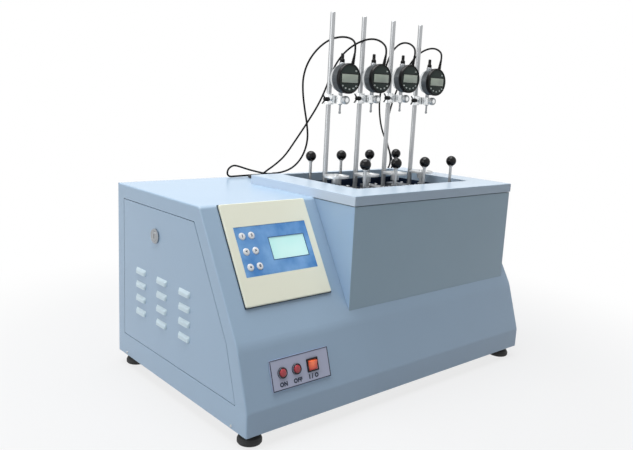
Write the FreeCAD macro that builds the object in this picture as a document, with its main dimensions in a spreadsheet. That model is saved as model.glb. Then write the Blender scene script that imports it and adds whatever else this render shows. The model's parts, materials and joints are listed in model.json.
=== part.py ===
import FreeCAD, Part
import Sketcher
import math
import os
import re

# Desktop heat deflection and Vicat tester: a sheet-metal cabinet with a sloping control front, an oil bath at
# its right, and four test stations, each with a load frame, a load rod with its tray and a digital indicator.
# Frame: origin on the ground below the cabinet's middle, +X along the front to the right, +Y to the back,
# +Z up, in millimetres. Pieces of the cabinet are drawn from the cabinet's own underside.

SIZES = {
    "cab_width": 740,
    "cab_depth": 460,
    "cab_height": 348,
    "foot_height": 24,
    "band_height": 40,
    "crease_setback": 31.5,
    "crease_height": 139,
    "top_setback": 153.5,
    "crease_round": 70,
    "band_round": 16,
    "top_round": 9,
    "side_round": 3,
    "steel": 1.5,
    "fit_gap": 0.3,
    "pan_steel": 2,
    "pan_lip": 18,
    "foot_inset_x": 26,
    "foot_inset_y": 27,
    "foot_radius": 21,
    "foot_pad": 14,
    "stud_radius": 4,
    "stud_length": 26,
    "thread_gap": 0.06,
    "door_margin": 32,
    "door_bottom": 44.5,
    "door_top": 319.5,
    "door_back": 204,
    "door_gap": 1.2,
    "door_lip": 11,
    "door_steel": 1.2,
    "louvre_first_y": -34,
    "louvre_first_z": 108,
    "louvre_pitch_y": 82,
    "louvre_pitch_z": 26.9,
    "louvre_width": 37,
    "louvre_height": 9,
    "louvre_proud": 4,
    "hinge_pin_radius": 1.5,
    "hinge_pin_length": 8,
    "hinge_pin_inset": 2.2,
    "hinge_pin_rise": 1.8,
    "hinge_lug": 5,
    "hinge_relief": 16,
    "lock_y": 73,
    "lock_z": 270,
    "lock_radius": 14,
    "lock_barrel": 9,
    "lock_proud": 3.7,
    "cam_length": 58,
    "cam_width": 12,
    "cam_steel": 2,
    "bath_border_left": 70,
    "bath_border_right": 61,
    "bath_border_front": 70,
    "bath_border_back": 15,
    "bath_drop": 225,
    "bath_flange": 13,
    "shadow_gap": 1.5,
    "rim_height": 18,
    "rim_over": 1,
    "rim_steel": 2,
    "well_left": -51,
    "well_width": 338,
    "well_front": -118,
    "well_depth": 230,
    "tank_depth": 222,
    "tank_lip": 56,
    "ledge_width": 5,
    "deck_top": 329,
    "deck_steel": 3,
    "station_margin_left": 41.6,
    "station_margin_right": 33,
    "plate_width": 30,
    "plate_margin_front": 10,
    "plate_margin_back": 28,
    "plate_steel": 10,
    "slot_width": 24,
    "slot_margin": 20,
    "handle_inset": 26.6,
    "handle_rod": 3,
    "ball_radius": 11,
    "ball_height": 432.4,
    "side_inset": 60,
    "side_rod": 4,
    "base_width": 20,
    "base_inset": 42,
    "base_steel": 10,
    "base_drop": 150,
    "anvil_inset": 32,
    "anvil_radius": 3,
    "anvil_height": 12,
    "post_offset": 35,
    "post_radius": 5,
    "post_top": 725,
    "load_rod_radius": 4,
    "slide_gap": 0.05,
    "tray_radius": 26.5,
    "tray_steel": 4,
    "tray_top": 401,
    "boss_radius": 9,
    "boss_height": 13,
    "collar_radius": 7,
    "nose_gap": 1,
    "gauge_height": 600,
    "gauge_front": 25,
    "bezel_radius": 29.7,
    "bezel_depth": 7,
    "case_radius": 28.6,
    "case_depth": 22,
    "back_radius": 25,
    "back_depth": 32,
    "stem_radius": 4,
    "stem_end": 52,
    "collar_top": 31,
    "top_collar_radius": 6,
    "cap_top": 49,
    "cap_radius": 3,
    "spindle_radius": 2,
    "spindle_bore": 2.05,
    "tip_end": 70,
    "boot_x": 8,
    "boot_y": -4,
    "boot_height": 24,
    "boot_length": 24,
    "boot_base": 3.6,
    "clamp_drop": 42,
    "clamp_height": 16,
    "clamp_boss": 8,
    "sleeve_radius": 10,
    "sleeve_height": 21,
    "ear_length": 19,
    "ear_gap": 1.6,
    "thumb_radius": 8,
    "thumb_depth": 8,
    "thumb_neck": 4,
    "wing_screw_radius": 2.5,
    "wing_reach": 28,
    "wing_span": 17,
    "wing_steel": 3.2,
    "bezel_left": -335,
    "bezel_width": 184,
    "bezel_drop": 1,
    "bezel_length": 180,
    "bezel_plate": 5,
    "membrane_left": -319.5,
    "membrane_width": 154,
    "membrane_drop": 44,
    "membrane_length": 88,
    "membrane_recess": 3,
    "membrane_steel": 2.6,
    "display_left": -255.5,
    "display_width": 79.5,
    "display_drop": 67,
    "display_length": 42,
    "key_first_x": -306,
    "key_pitch_x": 19,
    "key_first_drop": 60.5,
    "key_pitch_drop": 27.5,
    "key_radius": 6.5,
    "key_height": 2.6,
    "key_travel": 0.5,
    "plate_left": -315,
    "switch_width": 124,
    "switch_low": 22.5,
    "switch_high": 73.5,
    "switch_steel": 2.5,
    "button_first_x": -292.4,
    "button_pitch": 29.8,
    "button_up": 50,
    "button_radius": 8.2,
    "button_ring": 9.4,
    "ring_height": 2.5,
    "button_height": 5.5,
    "button_depth": 10,
    "button_travel": 2.5,
    "rocker_x": -228.5,
    "rocker_width": 19,
    "rocker_height": 18,
    "rocker_wall": 2.2,
    "rocker_depth": 12,
    "rocker_tilt": 9,
    "rocker_pivot": 1.5,
    "impeller_radius": 24,
    "impeller_height": 14,
    "shaft_radius": 3,
    "motor_radius": 35,
    "motor_height": 70,
    "heater_radius": 5,
    "heater_inset": 24,
    "heater_height": 14,
    "heater_bend": 22,
    "heater_tail": 16,
    "probe_radius": 3,
    "probe_inset_x": 11,
    "probe_inset_y": 16,
    "probe_length": 130,
    "inlet_x": 270,
    "inlet_z": 70,
    "inlet_width": 48,
    "inlet_height": 27.5,
    "cable_radius": 2,
    "gland_radius": 3.6,
    "gland_length": 14,
    "gland_axis": 4.2,
    "gland_side_1": 123,
    "gland_side_2": 51,
    "gland_side_3": 443,
    "gland_side_4": 466,
    "gland_back_1": 12,
    "gland_back_2": 40,
    "gland_back_3": 54,
    "gland_back_4": 46,
    "cable_lead": 6,
}

# Sizes that follow from the well: the sleeve round it, the four stations across it and what spans it.
DERIVED = {
    "bath_left": "well_left - bath_border_left",
    "bath_width": "well_width + bath_border_left + bath_border_right",
    "bath_front": "well_front - bath_border_front",
    "bath_depth": "well_depth + bath_border_front + bath_border_back",
    "station_first": "well_left + station_margin_left",
    "station_pitch": "(well_width - station_margin_left - station_margin_right) / 3",
    "plate_length": "well_depth - plate_margin_front - plate_margin_back",
    "load_y": "well_front + plate_margin_front + plate_length / 2",
    "slot_length": "plate_length - slot_margin",
    "handle_spread": "plate_length - handle_inset",
    "side_spread": "plate_length - side_inset",
    "anvil_spread": "side_spread - anvil_inset",
    "base_length": "plate_length - base_inset",
    "probe_x": "well_left + well_width - probe_inset_x",
    "probe_y": "well_front + well_depth - probe_inset_y",
}

# Small differences in the height to which each indicator is set on its post, seen from the front.
GAUGE_RISE = (-4.5, -0.3, 3.4, 0.5)
STATIONS = (1, 2, 3, 4)

doc = FreeCAD.newDocument("deflection_tester")
sheet = doc.addObject("Spreadsheet::Sheet", "Sizes")
rows = {alias: row for row, alias in enumerate([*SIZES, *DERIVED], start=1)}
for alias, row in rows.items():
    sheet.set(f"A{row}", alias)
    sheet.setAlias(f"B{row}", alias)
for alias, value in SIZES.items():
    sheet.set(f"B{rows[alias]}", str(value))
for alias, formula in DERIVED.items():
    sheet.set(f"B{rows[alias]}", "=" + formula)
doc.recompute()

sub_parts = []
XYZ = FreeCAD.Vector
SIDE_PLANE = "YZ_Plane"
FRONT_PLANE = "XZ_Plane"
GROUND_PLANE = "XY_Plane"


def size(alias):
    """A size read from the sheet."""
    return float(sheet.get(alias))


def bound(text):
    """The expression with each of the sheet's names written as the sheet's own cell."""
    return re.sub(r"[a-z_]+[a-z_0-9]*", lambda m: ("Sizes." if m.group() in rows else "") + m.group(), text)


def keep(piece, label):
    """Name a finished sub-part and put it on the list of those that are written."""
    piece.Label = label
    sub_parts.append(piece)
    return piece


def place(piece, x="0", y="0", z="0"):
    """Bind a piece's place to the sheet."""
    for axis, text in (("x", x), ("y", y), ("z", z)):
        piece.setExpression(f"Placement.Base.{axis}", bound(text))
    return piece


def new_body(name):
    return doc.addObject("PartDesign::Body", name)


def origin_plane(body, role):
    return next(item for item in body.Origin.OriginFeatures if item.Role == role)


def draw(body, plane, name, loops=(), rounds=(), start="0", seat=None):
    """A sketch of closed corner loops and of circles (x, y, radius), every number bound to the sheet."""
    sketch = body.newObject("Sketcher::SketchObject", name)
    sketch.AttachmentSupport = (origin_plane(body, plane), [""])
    sketch.MapMode = "FlatFace"
    if seat is not None:
        sketch.AttachmentOffset = seat
    else:
        sketch.setExpression("AttachmentOffset.Base.z", bound(start))
    first = 0
    for corners in loops:
        count = len(corners)
        guess = [XYZ(10 * math.cos(i * 6.283 / count), 10 * math.sin(i * 6.283 / count), 0) for i in range(count)]
        for i in range(count):
            sketch.addGeometry(Part.LineSegment(guess[i], guess[(i + 1) % count]), False)
        for i in range(count):
            sketch.addConstraint(Sketcher.Constraint("Coincident", first + i, 2, first + (i + 1) % count, 1))
        for i, corner in enumerate(corners):
            fix_point(sketch, first + i, 1, guess[i], corner)
        first += count
    for x, y, radius in rounds:
        sketch.addGeometry(Part.Circle(XYZ(0, 0, 0), XYZ(0, 0, 1), 5), False)
        fix_point(sketch, first, 3, XYZ(1, 1, 0), (x, y))
        index = sketch.addConstraint(Sketcher.Constraint("Radius", first, 5))
        sketch.setExpression(f"Constraints[{index}]", bound(radius))
        first += 1
    return sketch


def fix_point(sketch, curve, point, guess, target):
    """Hold one point of a curve at target (x, y), both bound to the sheet."""
    for kind, value, text in (("DistanceX", guess.x, target[0]), ("DistanceY", guess.y, target[1])):
        index = sketch.addConstraint(Sketcher.Constraint(kind, -1, 1, curve, point, value))
        sketch.setExpression(f"Constraints[{index}]", bound(text))


def pad(body, plane, name, length, loops=(), rounds=(), start="0"):
    """Material from start along the plane's normal."""
    feature = body.newObject("PartDesign::Pad", name)
    feature.Profile = draw(body, plane, name + "_outline", loops, rounds, start)
    feature.setExpression("Length", bound(length))
    return feature


def pocket(body, plane, name, length, loops=(), rounds=(), start="0", seat=None):
    """A cut from start along the plane's normal."""
    feature = body.newObject("PartDesign::Pocket", name)
    feature.Profile = draw(body, plane, name + "_outline", loops, rounds, start, seat)
    feature.Reversed = True
    feature.setExpression("Length", bound(length))
    return feature


def turned(name, profile):
    """A turned piece: a profile of (radius, height) corners round the Z axis."""
    body = new_body(name)
    sketch = draw(body, FRONT_PLANE, name + "_profile", [profile])
    feature = body.newObject("PartDesign::Revolution", name + "_turn")
    feature.Profile = sketch
    feature.ReferenceAxis = (sketch, ["V_Axis"])
    feature.Angle = 360
    return body


def rectangle(left, low, right, high):
    return [(left, low), (right, low), (right, high), (left, high)]


def centred(x, y, width, height):
    """A rectangle round a centre."""
    return rectangle(f"{x} - {width} / 2", f"{y} - {height} / 2", f"{x} + {width} / 2", f"{y} + {height} / 2")


def blend_edges(body, name, radius, picked):
    """Round the edges that picked chooses on the body as it stands."""
    doc.recompute()
    base = body.Tip
    names = [f"Edge{i}" for i, edge in enumerate(base.Shape.Edges, start=1) if picked(edge)]
    feature = body.newObject("PartDesign::Fillet", name)
    feature.Base = (base, names)
    feature.setExpression("Radius", bound(radius))
    return feature


def middle(edge):
    return edge.valueAt((edge.FirstParameter + edge.LastParameter) / 2)


def near(value, target, within=0.05):
    return abs(value - target) < within


def cylinder(name, radius, height, x="0", y="0", z="0", turn=None):
    """A bound cylinder; turn is an (axis, degrees) pair that lays it over."""
    piece = doc.addObject("Part::Cylinder", name)
    piece.setExpression("Radius", bound(radius))
    piece.setExpression("Height", bound(height))
    if turn:
        piece.Placement = FreeCAD.Placement(XYZ(0, 0, 0), FreeCAD.Rotation(*turn))
    return place(piece, x, y, z)


def block(name, length, width, height, x, y, z):
    piece = doc.addObject("Part::Box", name)
    for side, text in (("Length", length), ("Width", width), ("Height", height)):
        piece.setExpression(side, bound(text))
    return place(piece, x, y, z)


def fused(name, pieces):
    piece = doc.addObject("Part::MultiFuse", name)
    piece.Shapes = pieces
    return piece


def cut_away(name, base, tool):
    piece = doc.addObject("Part::Cut", name)
    piece.Base = base
    piece.Tool = tool
    return piece


def grouped(name, pieces):
    """Separate solids that share one sub-part."""
    piece = doc.addObject("Part::Compound", name)
    piece.Links = pieces
    return piece


def sloped(foot, head, across, along, lift):
    """A place on a face that rises from foot to head (Y, Z): local X runs across, Y up the face, Z outwards."""
    rise = math.degrees(math.atan2(head[1] - foot[1], head[0] - foot[0]))
    turn = FreeCAD.Rotation(XYZ(1, 0, 0), rise)
    return FreeCAD.Placement(XYZ(0, foot[0], foot[1]) + turn.multVec(XYZ(across, along, lift)), turn)


def on_front(across=0.0, down=0.0, lift=0.0, ground=True):
    """A place on the sloping control front, measured down from its top edge."""
    base = size("foot_height") if ground else 0.0
    front = -size("cab_depth") / 2
    foot = (front + size("crease_setback"), base + size("crease_height"))
    head = (front + size("top_setback"), base + size("cab_height"))
    slope = math.hypot(head[0] - foot[0], head[1] - foot[1])
    return sloped(foot, head, across, slope - down, lift)


def on_band(across=0.0, up=0.0, lift=0.0, ground=True):
    """A place on the lower front band, measured up from its lower edge."""
    base = size("foot_height") if ground else 0.0
    front = -size("cab_depth") / 2
    foot = (front, base + size("band_height"))
    head = (front + size("crease_setback"), base + size("crease_height"))
    return sloped(foot, head, across, up, lift)


def station_x(number):
    return f"station_first + {number - 1} * station_pitch"


CAB_FRONT = "-cab_depth / 2"
CAB_LEFT = "-cab_width / 2"
CAB_BACK = "cab_depth / 2 - steel"
SLOPE_RUN = "(top_setback - crease_setback) / (cab_height - crease_height)"


def door_corners(grow):
    """The door's outline on the left side (Y, Z), grown by a gap; its front edge runs along the cabinet's."""
    front = f"{CAB_FRONT} + door_margin - {grow}"
    top = f"door_top + {grow}"
    return [
        (f"{front} + (door_bottom - band_height) * crease_setback / (crease_height - band_height)",
         f"door_bottom - {grow}"),
        (f"{front} + crease_setback", "crease_height"),
        (f"{front} + crease_setback + (door_top - crease_height) * {SLOPE_RUN}", top),
        (f"door_back + {grow}", top),
        (f"door_back + {grow}", f"door_bottom - {grow}"),
    ]


def make_cabinet_shell():
    """Folded steel shell, open at the back and below, with the door, bath and switch openings cut in it."""
    body = new_body("cabinet_shell")
    profile = [
        (CAB_FRONT, "0"),
        (CAB_FRONT, "band_height"),
        (f"{CAB_FRONT} + crease_setback", "crease_height"),
        (f"{CAB_FRONT} + top_setback", "cab_height"),
        (CAB_BACK, "cab_height"),
        (CAB_BACK, "0"),
    ]
    pad(body, SIDE_PLANE, "shell_block", "cab_width", [profile], start=CAB_LEFT)
    front = -size("cab_depth") / 2
    creases = (
        ("crease_fold", "crease_round", front + size("crease_setback"), size("crease_height")),
        ("band_fold", "band_round", front, size("band_height")),
        ("top_fold", "top_round", front + size("top_setback"), size("cab_height")),
    )
    for name, radius, y, z in creases:
        blend_edges(body, name, radius, lambda e, y=y, z=z: near(middle(e).y, y) and near(middle(e).z, z))
    half = size("cab_width") / 2
    back = size("cab_depth") / 2 - size("steel")
    blend_edges(body, "side_folds", "side_round", lambda e: near(abs(middle(e).x), half)
                and middle(e).z > 1 and middle(e).y < back - 1)
    doc.recompute()
    solid = body.Tip
    open_faces = [f"Face{i}" for i, face in enumerate(solid.Shape.Faces, start=1)
                  if near(face.CenterOfMass.z, 0) or near(face.CenterOfMass.y, back)]
    hollow = body.newObject("PartDesign::Thickness", "shell_hollow")
    hollow.Base = (solid, open_faces)
    hollow.Reversed = True
    hollow.setExpression("Value", bound("steel"))
    bath = rectangle("bath_left - fit_gap", "bath_front - fit_gap",
                     "bath_left + bath_width + fit_gap", "bath_front + bath_depth + fit_gap")
    pocket(body, GROUND_PLANE, "bath_opening", "cab_height", [bath], start="crease_height")
    pocket(body, SIDE_PLANE, "door_opening", "steel + side_round", [door_corners("door_gap")],
           start=f"{CAB_LEFT} - 1")
    for number, x in enumerate(button_places(), start=1):
        pocket(body, GROUND_PLANE, f"button_hole_{number}", "4 * steel",
               rounds=[("0", "0", "button_radius + fit_gap")], seat=on_band(x, size("button_up"), -5, False))
    pocket(body, GROUND_PLANE, "rocker_hole", "4 * steel",
           [centred("0", "0", "(rocker_width + 2 * rocker_wall)", "(rocker_height + 2 * rocker_wall)")],
           seat=on_band(size("rocker_x"), size("button_up"), -5, False))
    lug_y = (f"{door_corners('0')[0][0]} - hinge_pin_length + 2", "door_back + hinge_pin_length - hinge_lug - 2")
    for name, low in zip(("front_lug", "back_lug"), lug_y):
        pad(body, FRONT_PLANE, name, "hinge_lug",
            [rectangle(f"{CAB_LEFT} + steel / 2", "door_bottom - 10", f"{CAB_LEFT} + 12", "door_bottom + 8")],
            start=f"-({low}) - hinge_lug")
    pin_x = f"{CAB_LEFT} + hinge_pin_inset"
    pocket(body, FRONT_PLANE, "pin_holes", f"cab_depth / 2 - ({door_corners('0')[0][0]}) + hinge_pin_length",
           rounds=[(pin_x, "door_bottom + hinge_pin_rise", "hinge_pin_radius + slide_gap")], start=CAB_FRONT)
    place(body, z="foot_height")
    return keep(body, "cabinet_shell")


def button_places():
    return [size("button_first_x") + i * size("button_pitch") for i in range(2)]


def make_base_pan():
    """Bottom tray inside the shell, with a turned-up lip and the holes for the four feet."""
    body = new_body("base_pan")
    left = f"{CAB_LEFT} + steel + fit_gap"
    low = f"{CAB_FRONT} + steel + fit_gap"
    outer = rectangle(left, low, f"-({left})", CAB_BACK)
    wall = "pan_steel"
    inner = rectangle(f"{left} + {wall}", f"{low} + {wall}", f"-({left}) - {wall}", f"{CAB_BACK} - {wall}")
    pad(body, GROUND_PLANE, "pan_block", "pan_lip", [outer])
    pocket(body, GROUND_PLANE, "pan_hollow", "pan_lip", [inner], start="pan_steel")
    corner_x = size("cab_width") / 2 - size("steel") - size("fit_gap")
    corner_y = -size("cab_depth") / 2 + size("steel") + size("fit_gap")
    blend_edges(body, "pan_corners", "steel", lambda e: near(abs(middle(e).x), corner_x) and near(middle(e).y, corner_y)
                and middle(e).z > 1)
    holes = [(x, y, "stud_radius + thread_gap") for x, y in foot_places()]
    pocket(body, GROUND_PLANE, "stud_holes", "3 * pan_steel", rounds=holes, start="-pan_steel")
    place(body, z="foot_height")
    return keep(body, "base_pan")


def foot_places():
    left = f"{CAB_LEFT} + foot_inset_x"
    low = f"{CAB_FRONT} + foot_inset_y"
    return [(left, low), (f"-({left})", low), (left, f"-({low})"), (f"-({left})", f"-({low})")]


def make_foot(number, x, y):
    """Levelling foot: a moulded pad on a threaded stud that turns in the pan."""
    profile = [
        ("0", "0"),
        ("foot_radius - 2", "0"),
        ("foot_radius", "2"),
        ("foot_radius", "foot_pad - 4"),
        ("foot_radius - 5", "foot_pad"),
        ("stud_radius + 5", "foot_pad"),
        ("stud_radius + 5", "foot_height - fit_gap"),
        ("stud_radius", "foot_height - fit_gap"),
        ("stud_radius", "stud_length + foot_height"),
        ("0", "stud_length + foot_height"),
    ]
    foot = turned(f"foot_{number}", profile)
    place(foot, x, y)
    return keep(foot, f"foot_{number}")


def make_rear_panel():
    """Back cover, screwed flat over the shell's open back, with the cut-out for the mains inlet."""
    body = new_body("rear_panel")
    back = "-cab_depth / 2"
    pad(body, FRONT_PLANE, "rear_sheet", "steel",
        [rectangle(CAB_LEFT, "0", f"-({CAB_LEFT})", "cab_height")], start=back)
    pocket(body, FRONT_PLANE, "inlet_hole", "3 * steel",
           [centred("inlet_x", "inlet_z", "(inlet_width - 8)", "(inlet_height - 4)")], start=f"{back} - steel")
    place(body, z="foot_height")
    return keep(body, "rear_panel")


def make_mains_inlet():
    """Mains inlet in the rear panel: a flange, the socket's shell and its three blades."""
    turn = (XYZ(1, 0, 0), 90)
    face = "cab_depth / 2"
    low = "foot_height + inlet_z"
    flange = block("inlet_flange", "inlet_width", "3", "inlet_height", "inlet_x - inlet_width / 2", face,
                   f"{low} - inlet_height / 2")
    shell = block("inlet_shell", "inlet_width - 9", "20", "inlet_height - 5", "inlet_x - (inlet_width - 9) / 2",
                  f"{face} - 20", f"{low} - (inlet_height - 5) / 2")
    mouth = block("inlet_mouth", "inlet_width - 22", "16", "inlet_height - 11", "inlet_x - (inlet_width - 22) / 2",
                  f"{face} - 12", f"{low} - (inlet_height - 11) / 2")
    hollow = cut_away("inlet_housing", fused("inlet_solid", [flange, shell]), mouth)
    blades = [cylinder(f"inlet_pin_{i}", "2", "12.5", f"inlet_x + {(i - 2) * 7}", face,
                       f"{low} + {3 if i == 2 else -2}", turn) for i in (1, 2, 3)]
    return keep(fused("mains_inlet", [hollow] + blades), "mains_inlet")


def make_access_panel():
    """Left side door: a steel tray with a turned-in lip, raised louvres and two hinge pins at its lower edge."""
    body = new_body("access_panel")
    pad(body, SIDE_PLANE, "door_block", "door_lip", [door_corners("0")], start=CAB_LEFT)
    pocket(body, SIDE_PLANE, "door_hollow", "door_lip", [door_corners("(-door_steel)")],
           start=f"{CAB_LEFT} + door_steel")
    pocket(body, SIDE_PLANE, "lock_hole", "3 * door_steel", rounds=[("lock_y", "lock_z", "lock_barrel + slide_gap")],
           start=f"{CAB_LEFT} - door_steel")
    for column in range(3):
        for row in range(4):
            add_louvre(body, column, row)
    corner = door_corners("0")[0][0]
    pocket(body, SIDE_PLANE, "hinge_relief_cut", "door_lip",
           [rectangle(f"{corner} - 1", "door_bottom + door_steel", f"{corner} + hinge_relief / 2",
                      "door_bottom + hinge_relief")], start=f"{CAB_LEFT} + door_steel")
    pin_x = f"{CAB_LEFT} + hinge_pin_inset"
    pin_y = (f"-({door_corners('0')[0][0]}) - 3", "-door_back - hinge_pin_length")
    for name, start in zip(("front_pin", "back_pin"), pin_y):
        pad(body, FRONT_PLANE, name, "hinge_pin_length + 3",
            rounds=[(pin_x, "door_bottom + hinge_pin_rise", "hinge_pin_radius")], start=start)
    place(body, z="foot_height")
    return keep(body, "access_panel")


def add_louvre(body, column, row):
    """One pressed louvre: a wedge that stands proud, open below, with the slot behind it."""
    y = f"louvre_first_y + {column} * louvre_pitch_y"
    z = f"louvre_first_z + {row} * louvre_pitch_z"
    face = CAB_LEFT
    name = f"louvre_{column}_{row}"
    hood = [(face, f"{z} + louvre_height / 2"), (f"{face} - louvre_proud", f"{z} - louvre_height / 2"),
            (f"{face} + door_steel / 2", f"{z} - louvre_height / 2"),
            (f"{face} + door_steel / 2", f"{z} + louvre_height / 2")]
    pad(body, FRONT_PLANE, name, "louvre_width", [hood], start=f"-({y}) - louvre_width / 2")
    hollow = [(f"{face} + 3 * door_steel", f"{z} + louvre_height / 2 - 2 * door_steel"),
              (f"{face} - louvre_proud + 1.4 * door_steel", f"{z} - louvre_height / 2 - 0.5"),
              (f"{face} + 3 * door_steel", f"{z} - louvre_height / 2 - 0.5")]
    pocket(body, FRONT_PLANE, name + "_slot", "louvre_width - 2 * door_steel", [hollow],
           start=f"-({y}) - louvre_width / 2 + door_steel")


def make_panel_lock():
    """Quarter-turn cam lock: a round face and barrel through the door, with a long cam behind it."""
    turn = (XYZ(0, 1, 0), 90)
    y = "lock_y"
    z = "foot_height + lock_z"
    front = f"{CAB_LEFT} - lock_proud - fit_gap"
    behind = f"{CAB_LEFT} + door_lip + fit_gap"
    face = cylinder("lock_face", "lock_radius", "lock_proud", front, y, z, turn)
    barrel = cylinder("lock_body", "lock_barrel", "lock_proud + 2 * fit_gap + door_lip", front, y, z, turn)
    cam = block("lock_cam", "cam_steel", "cam_length", "cam_width", behind, f"{y} - cam_width / 2",
                f"{z} - cam_width / 2")
    key_slot = block("key_slot", "lock_proud", "1.6", "8", f"{front} - 0.5", f"{y} - 0.8", f"{z} - 4")
    solid = fused("lock_solid", [face, barrel, cam])
    return keep(cut_away("panel_lock", solid, key_slot), "panel_lock")


def make_bath_housing():
    """Square sleeve round the bath that stands out of the sloping front, with a turned-in flange on top."""
    body = new_body("bath_housing")
    outer = rectangle("bath_left", "bath_front", "bath_left + bath_width", "bath_front + bath_depth")
    inner = rectangle("bath_left + steel", "bath_front + steel", "bath_left + bath_width - steel",
                      "bath_front + bath_depth - steel")
    lip = rectangle("bath_left + bath_flange", "bath_front + bath_flange",
                    "bath_left + bath_width - bath_flange", "bath_front + bath_depth - bath_flange")
    top = "cab_height - shadow_gap"
    pad(body, GROUND_PLANE, "housing_walls", "bath_drop - shadow_gap", [outer, inner], start="cab_height - bath_drop")
    pad(body, GROUND_PLANE, "housing_flange", "steel", [outer, lip], start=f"{top} - steel")
    low, high = size("cab_height") - size("bath_drop"), size("cab_height") - size("shadow_gap")
    sides = (size("bath_left"), size("bath_left") + size("bath_width"))
    ends = (size("bath_front"), size("bath_front") + size("bath_depth"))
    blend_edges(body, "housing_corners", "steel", lambda e: low < middle(e).z < high
                and any(near(middle(e).x, x) for x in sides) and any(near(middle(e).y, y) for y in ends))
    place(body, z="foot_height")
    return keep(body, "bath_housing")


def make_bath_rim():
    """Folded rim on top of the bath: an outer skirt, a flat top and an inner lip round the mouth."""
    body = new_body("bath_rim")
    outer = rectangle("bath_left - rim_over", "bath_front - rim_over",
                      "bath_left + bath_width + rim_over", "bath_front + bath_depth + rim_over")
    well = rectangle("well_left", "well_front", "well_left + well_width", "well_front + well_depth")
    under_outer = rectangle("bath_left - rim_over + rim_steel", "bath_front - rim_over + rim_steel",
                            "bath_left + bath_width + rim_over - rim_steel",
                            "bath_front + bath_depth + rim_over - rim_steel")
    under_inner = rectangle("well_left - rim_steel", "well_front - rim_steel",
                            "well_left + well_width + rim_steel", "well_front + well_depth + rim_steel")
    pad(body, GROUND_PLANE, "rim_block", "rim_height", [outer, well], start="cab_height")
    pocket(body, GROUND_PLANE, "rim_hollow", "rim_height - rim_steel", [under_outer, under_inner], start="cab_height")
    top = size("cab_height") + size("rim_height")
    left = size("bath_left") - size("rim_over")
    front = size("bath_front") - size("rim_over")
    right = left + size("bath_width") + 2 * size("rim_over")
    back = front + size("bath_depth") + 2 * size("rim_over")
    blend_edges(body, "rim_edges", "rim_steel - 0.6", lambda e: near(middle(e).z, top)
                and (near(middle(e).x, left) or near(middle(e).x, right)
                     or near(middle(e).y, front) or near(middle(e).y, back)))
    place(body, z="foot_height")
    return keep(body, "bath_rim")


def make_oil_tank():
    """Stainless oil tank hung by its flange, with a ledge for the deck and holes for shaft and heater."""
    body = new_body("oil_tank")
    wall = "steel"
    outer = rectangle(f"well_left - {wall}", f"well_front - {wall}",
                      f"well_left + well_width + {wall}", f"well_front + well_depth + {wall}")
    well = rectangle("well_left", "well_front", "well_left + well_width", "well_front + well_depth")
    flange = rectangle("well_left - tank_lip", "well_front - tank_lip",
                       "well_left + well_width + tank_lip - 6", "bath_front + bath_depth - 3")
    ledge = rectangle("well_left + ledge_width", "well_front + ledge_width",
                      "well_left + well_width - ledge_width", "well_front + well_depth - ledge_width")
    floor = "cab_height - tank_depth"
    pad(body, GROUND_PLANE, "tank_block", "tank_depth", [outer], start=floor)
    pad(body, GROUND_PLANE, "tank_flange", "shadow_gap", [flange], start="cab_height - shadow_gap")
    pocket(body, GROUND_PLANE, "tank_hollow", "cab_height", [well], start=f"{floor} + steel")
    pad(body, GROUND_PLANE, "deck_ledge", "deck_steel", [well, ledge], start="deck_top - 2 * deck_steel")
    middle_x, middle_y = well_middle()
    pad(body, GROUND_PLANE, "shaft_gland", "6", rounds=[(middle_x, middle_y, "shaft_radius + 6")], start=f"{floor} - 6")
    pocket(body, GROUND_PLANE, "shaft_hole", "12 + steel",
           rounds=[(middle_x, middle_y, "shaft_radius + slide_gap")], start=f"{floor} - 8")
    pocket(body, SIDE_PLANE, "heater_holes", "6 * steel", start=f"well_left - 3 * {wall}",
           rounds=[(y, f"{floor} + steel + heater_height", "heater_radius") for y in heater_rows()])
    place(body, z="foot_height")
    return keep(body, "oil_tank")


def well_middle():
    return "(well_left + well_width / 2)", "(well_front + well_depth / 2)"


def heater_rows():
    return ["well_front + heater_inset", "well_front + well_depth - heater_inset"]


def make_bath_deck():
    """Deck plate in the mouth of the bath, slotted for the four frames and drilled for the probe."""
    body = new_body("bath_deck")
    gap = "fit_gap"
    outline = rectangle(f"well_left + {gap}", f"well_front + {gap}",
                        f"well_left + well_width - {gap}", f"well_front + well_depth - {gap}")
    slots = [centred(f"({station_x(n)})", "load_y", "slot_width", "slot_length") for n in STATIONS]
    pad(body, GROUND_PLANE, "deck_sheet", "deck_steel", [outline] + slots,
        rounds=[("probe_x", "probe_y", "probe_radius")], start="deck_top - deck_steel")
    place(body, z="foot_height")
    return keep(body, "bath_deck")


def make_probe():
    """Temperature probe: a thin stem through the deck with a round head."""
    stem = cylinder("probe_stem", "probe_radius", "probe_length", "probe_x", "probe_y",
                    "foot_height + deck_top - probe_length")
    head = cylinder("probe_head", "2 * probe_radius", "9", "probe_x", "probe_y", "foot_height + deck_top")
    return keep(fused("temperature_probe", [stem, head]), "temperature_probe")


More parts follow.
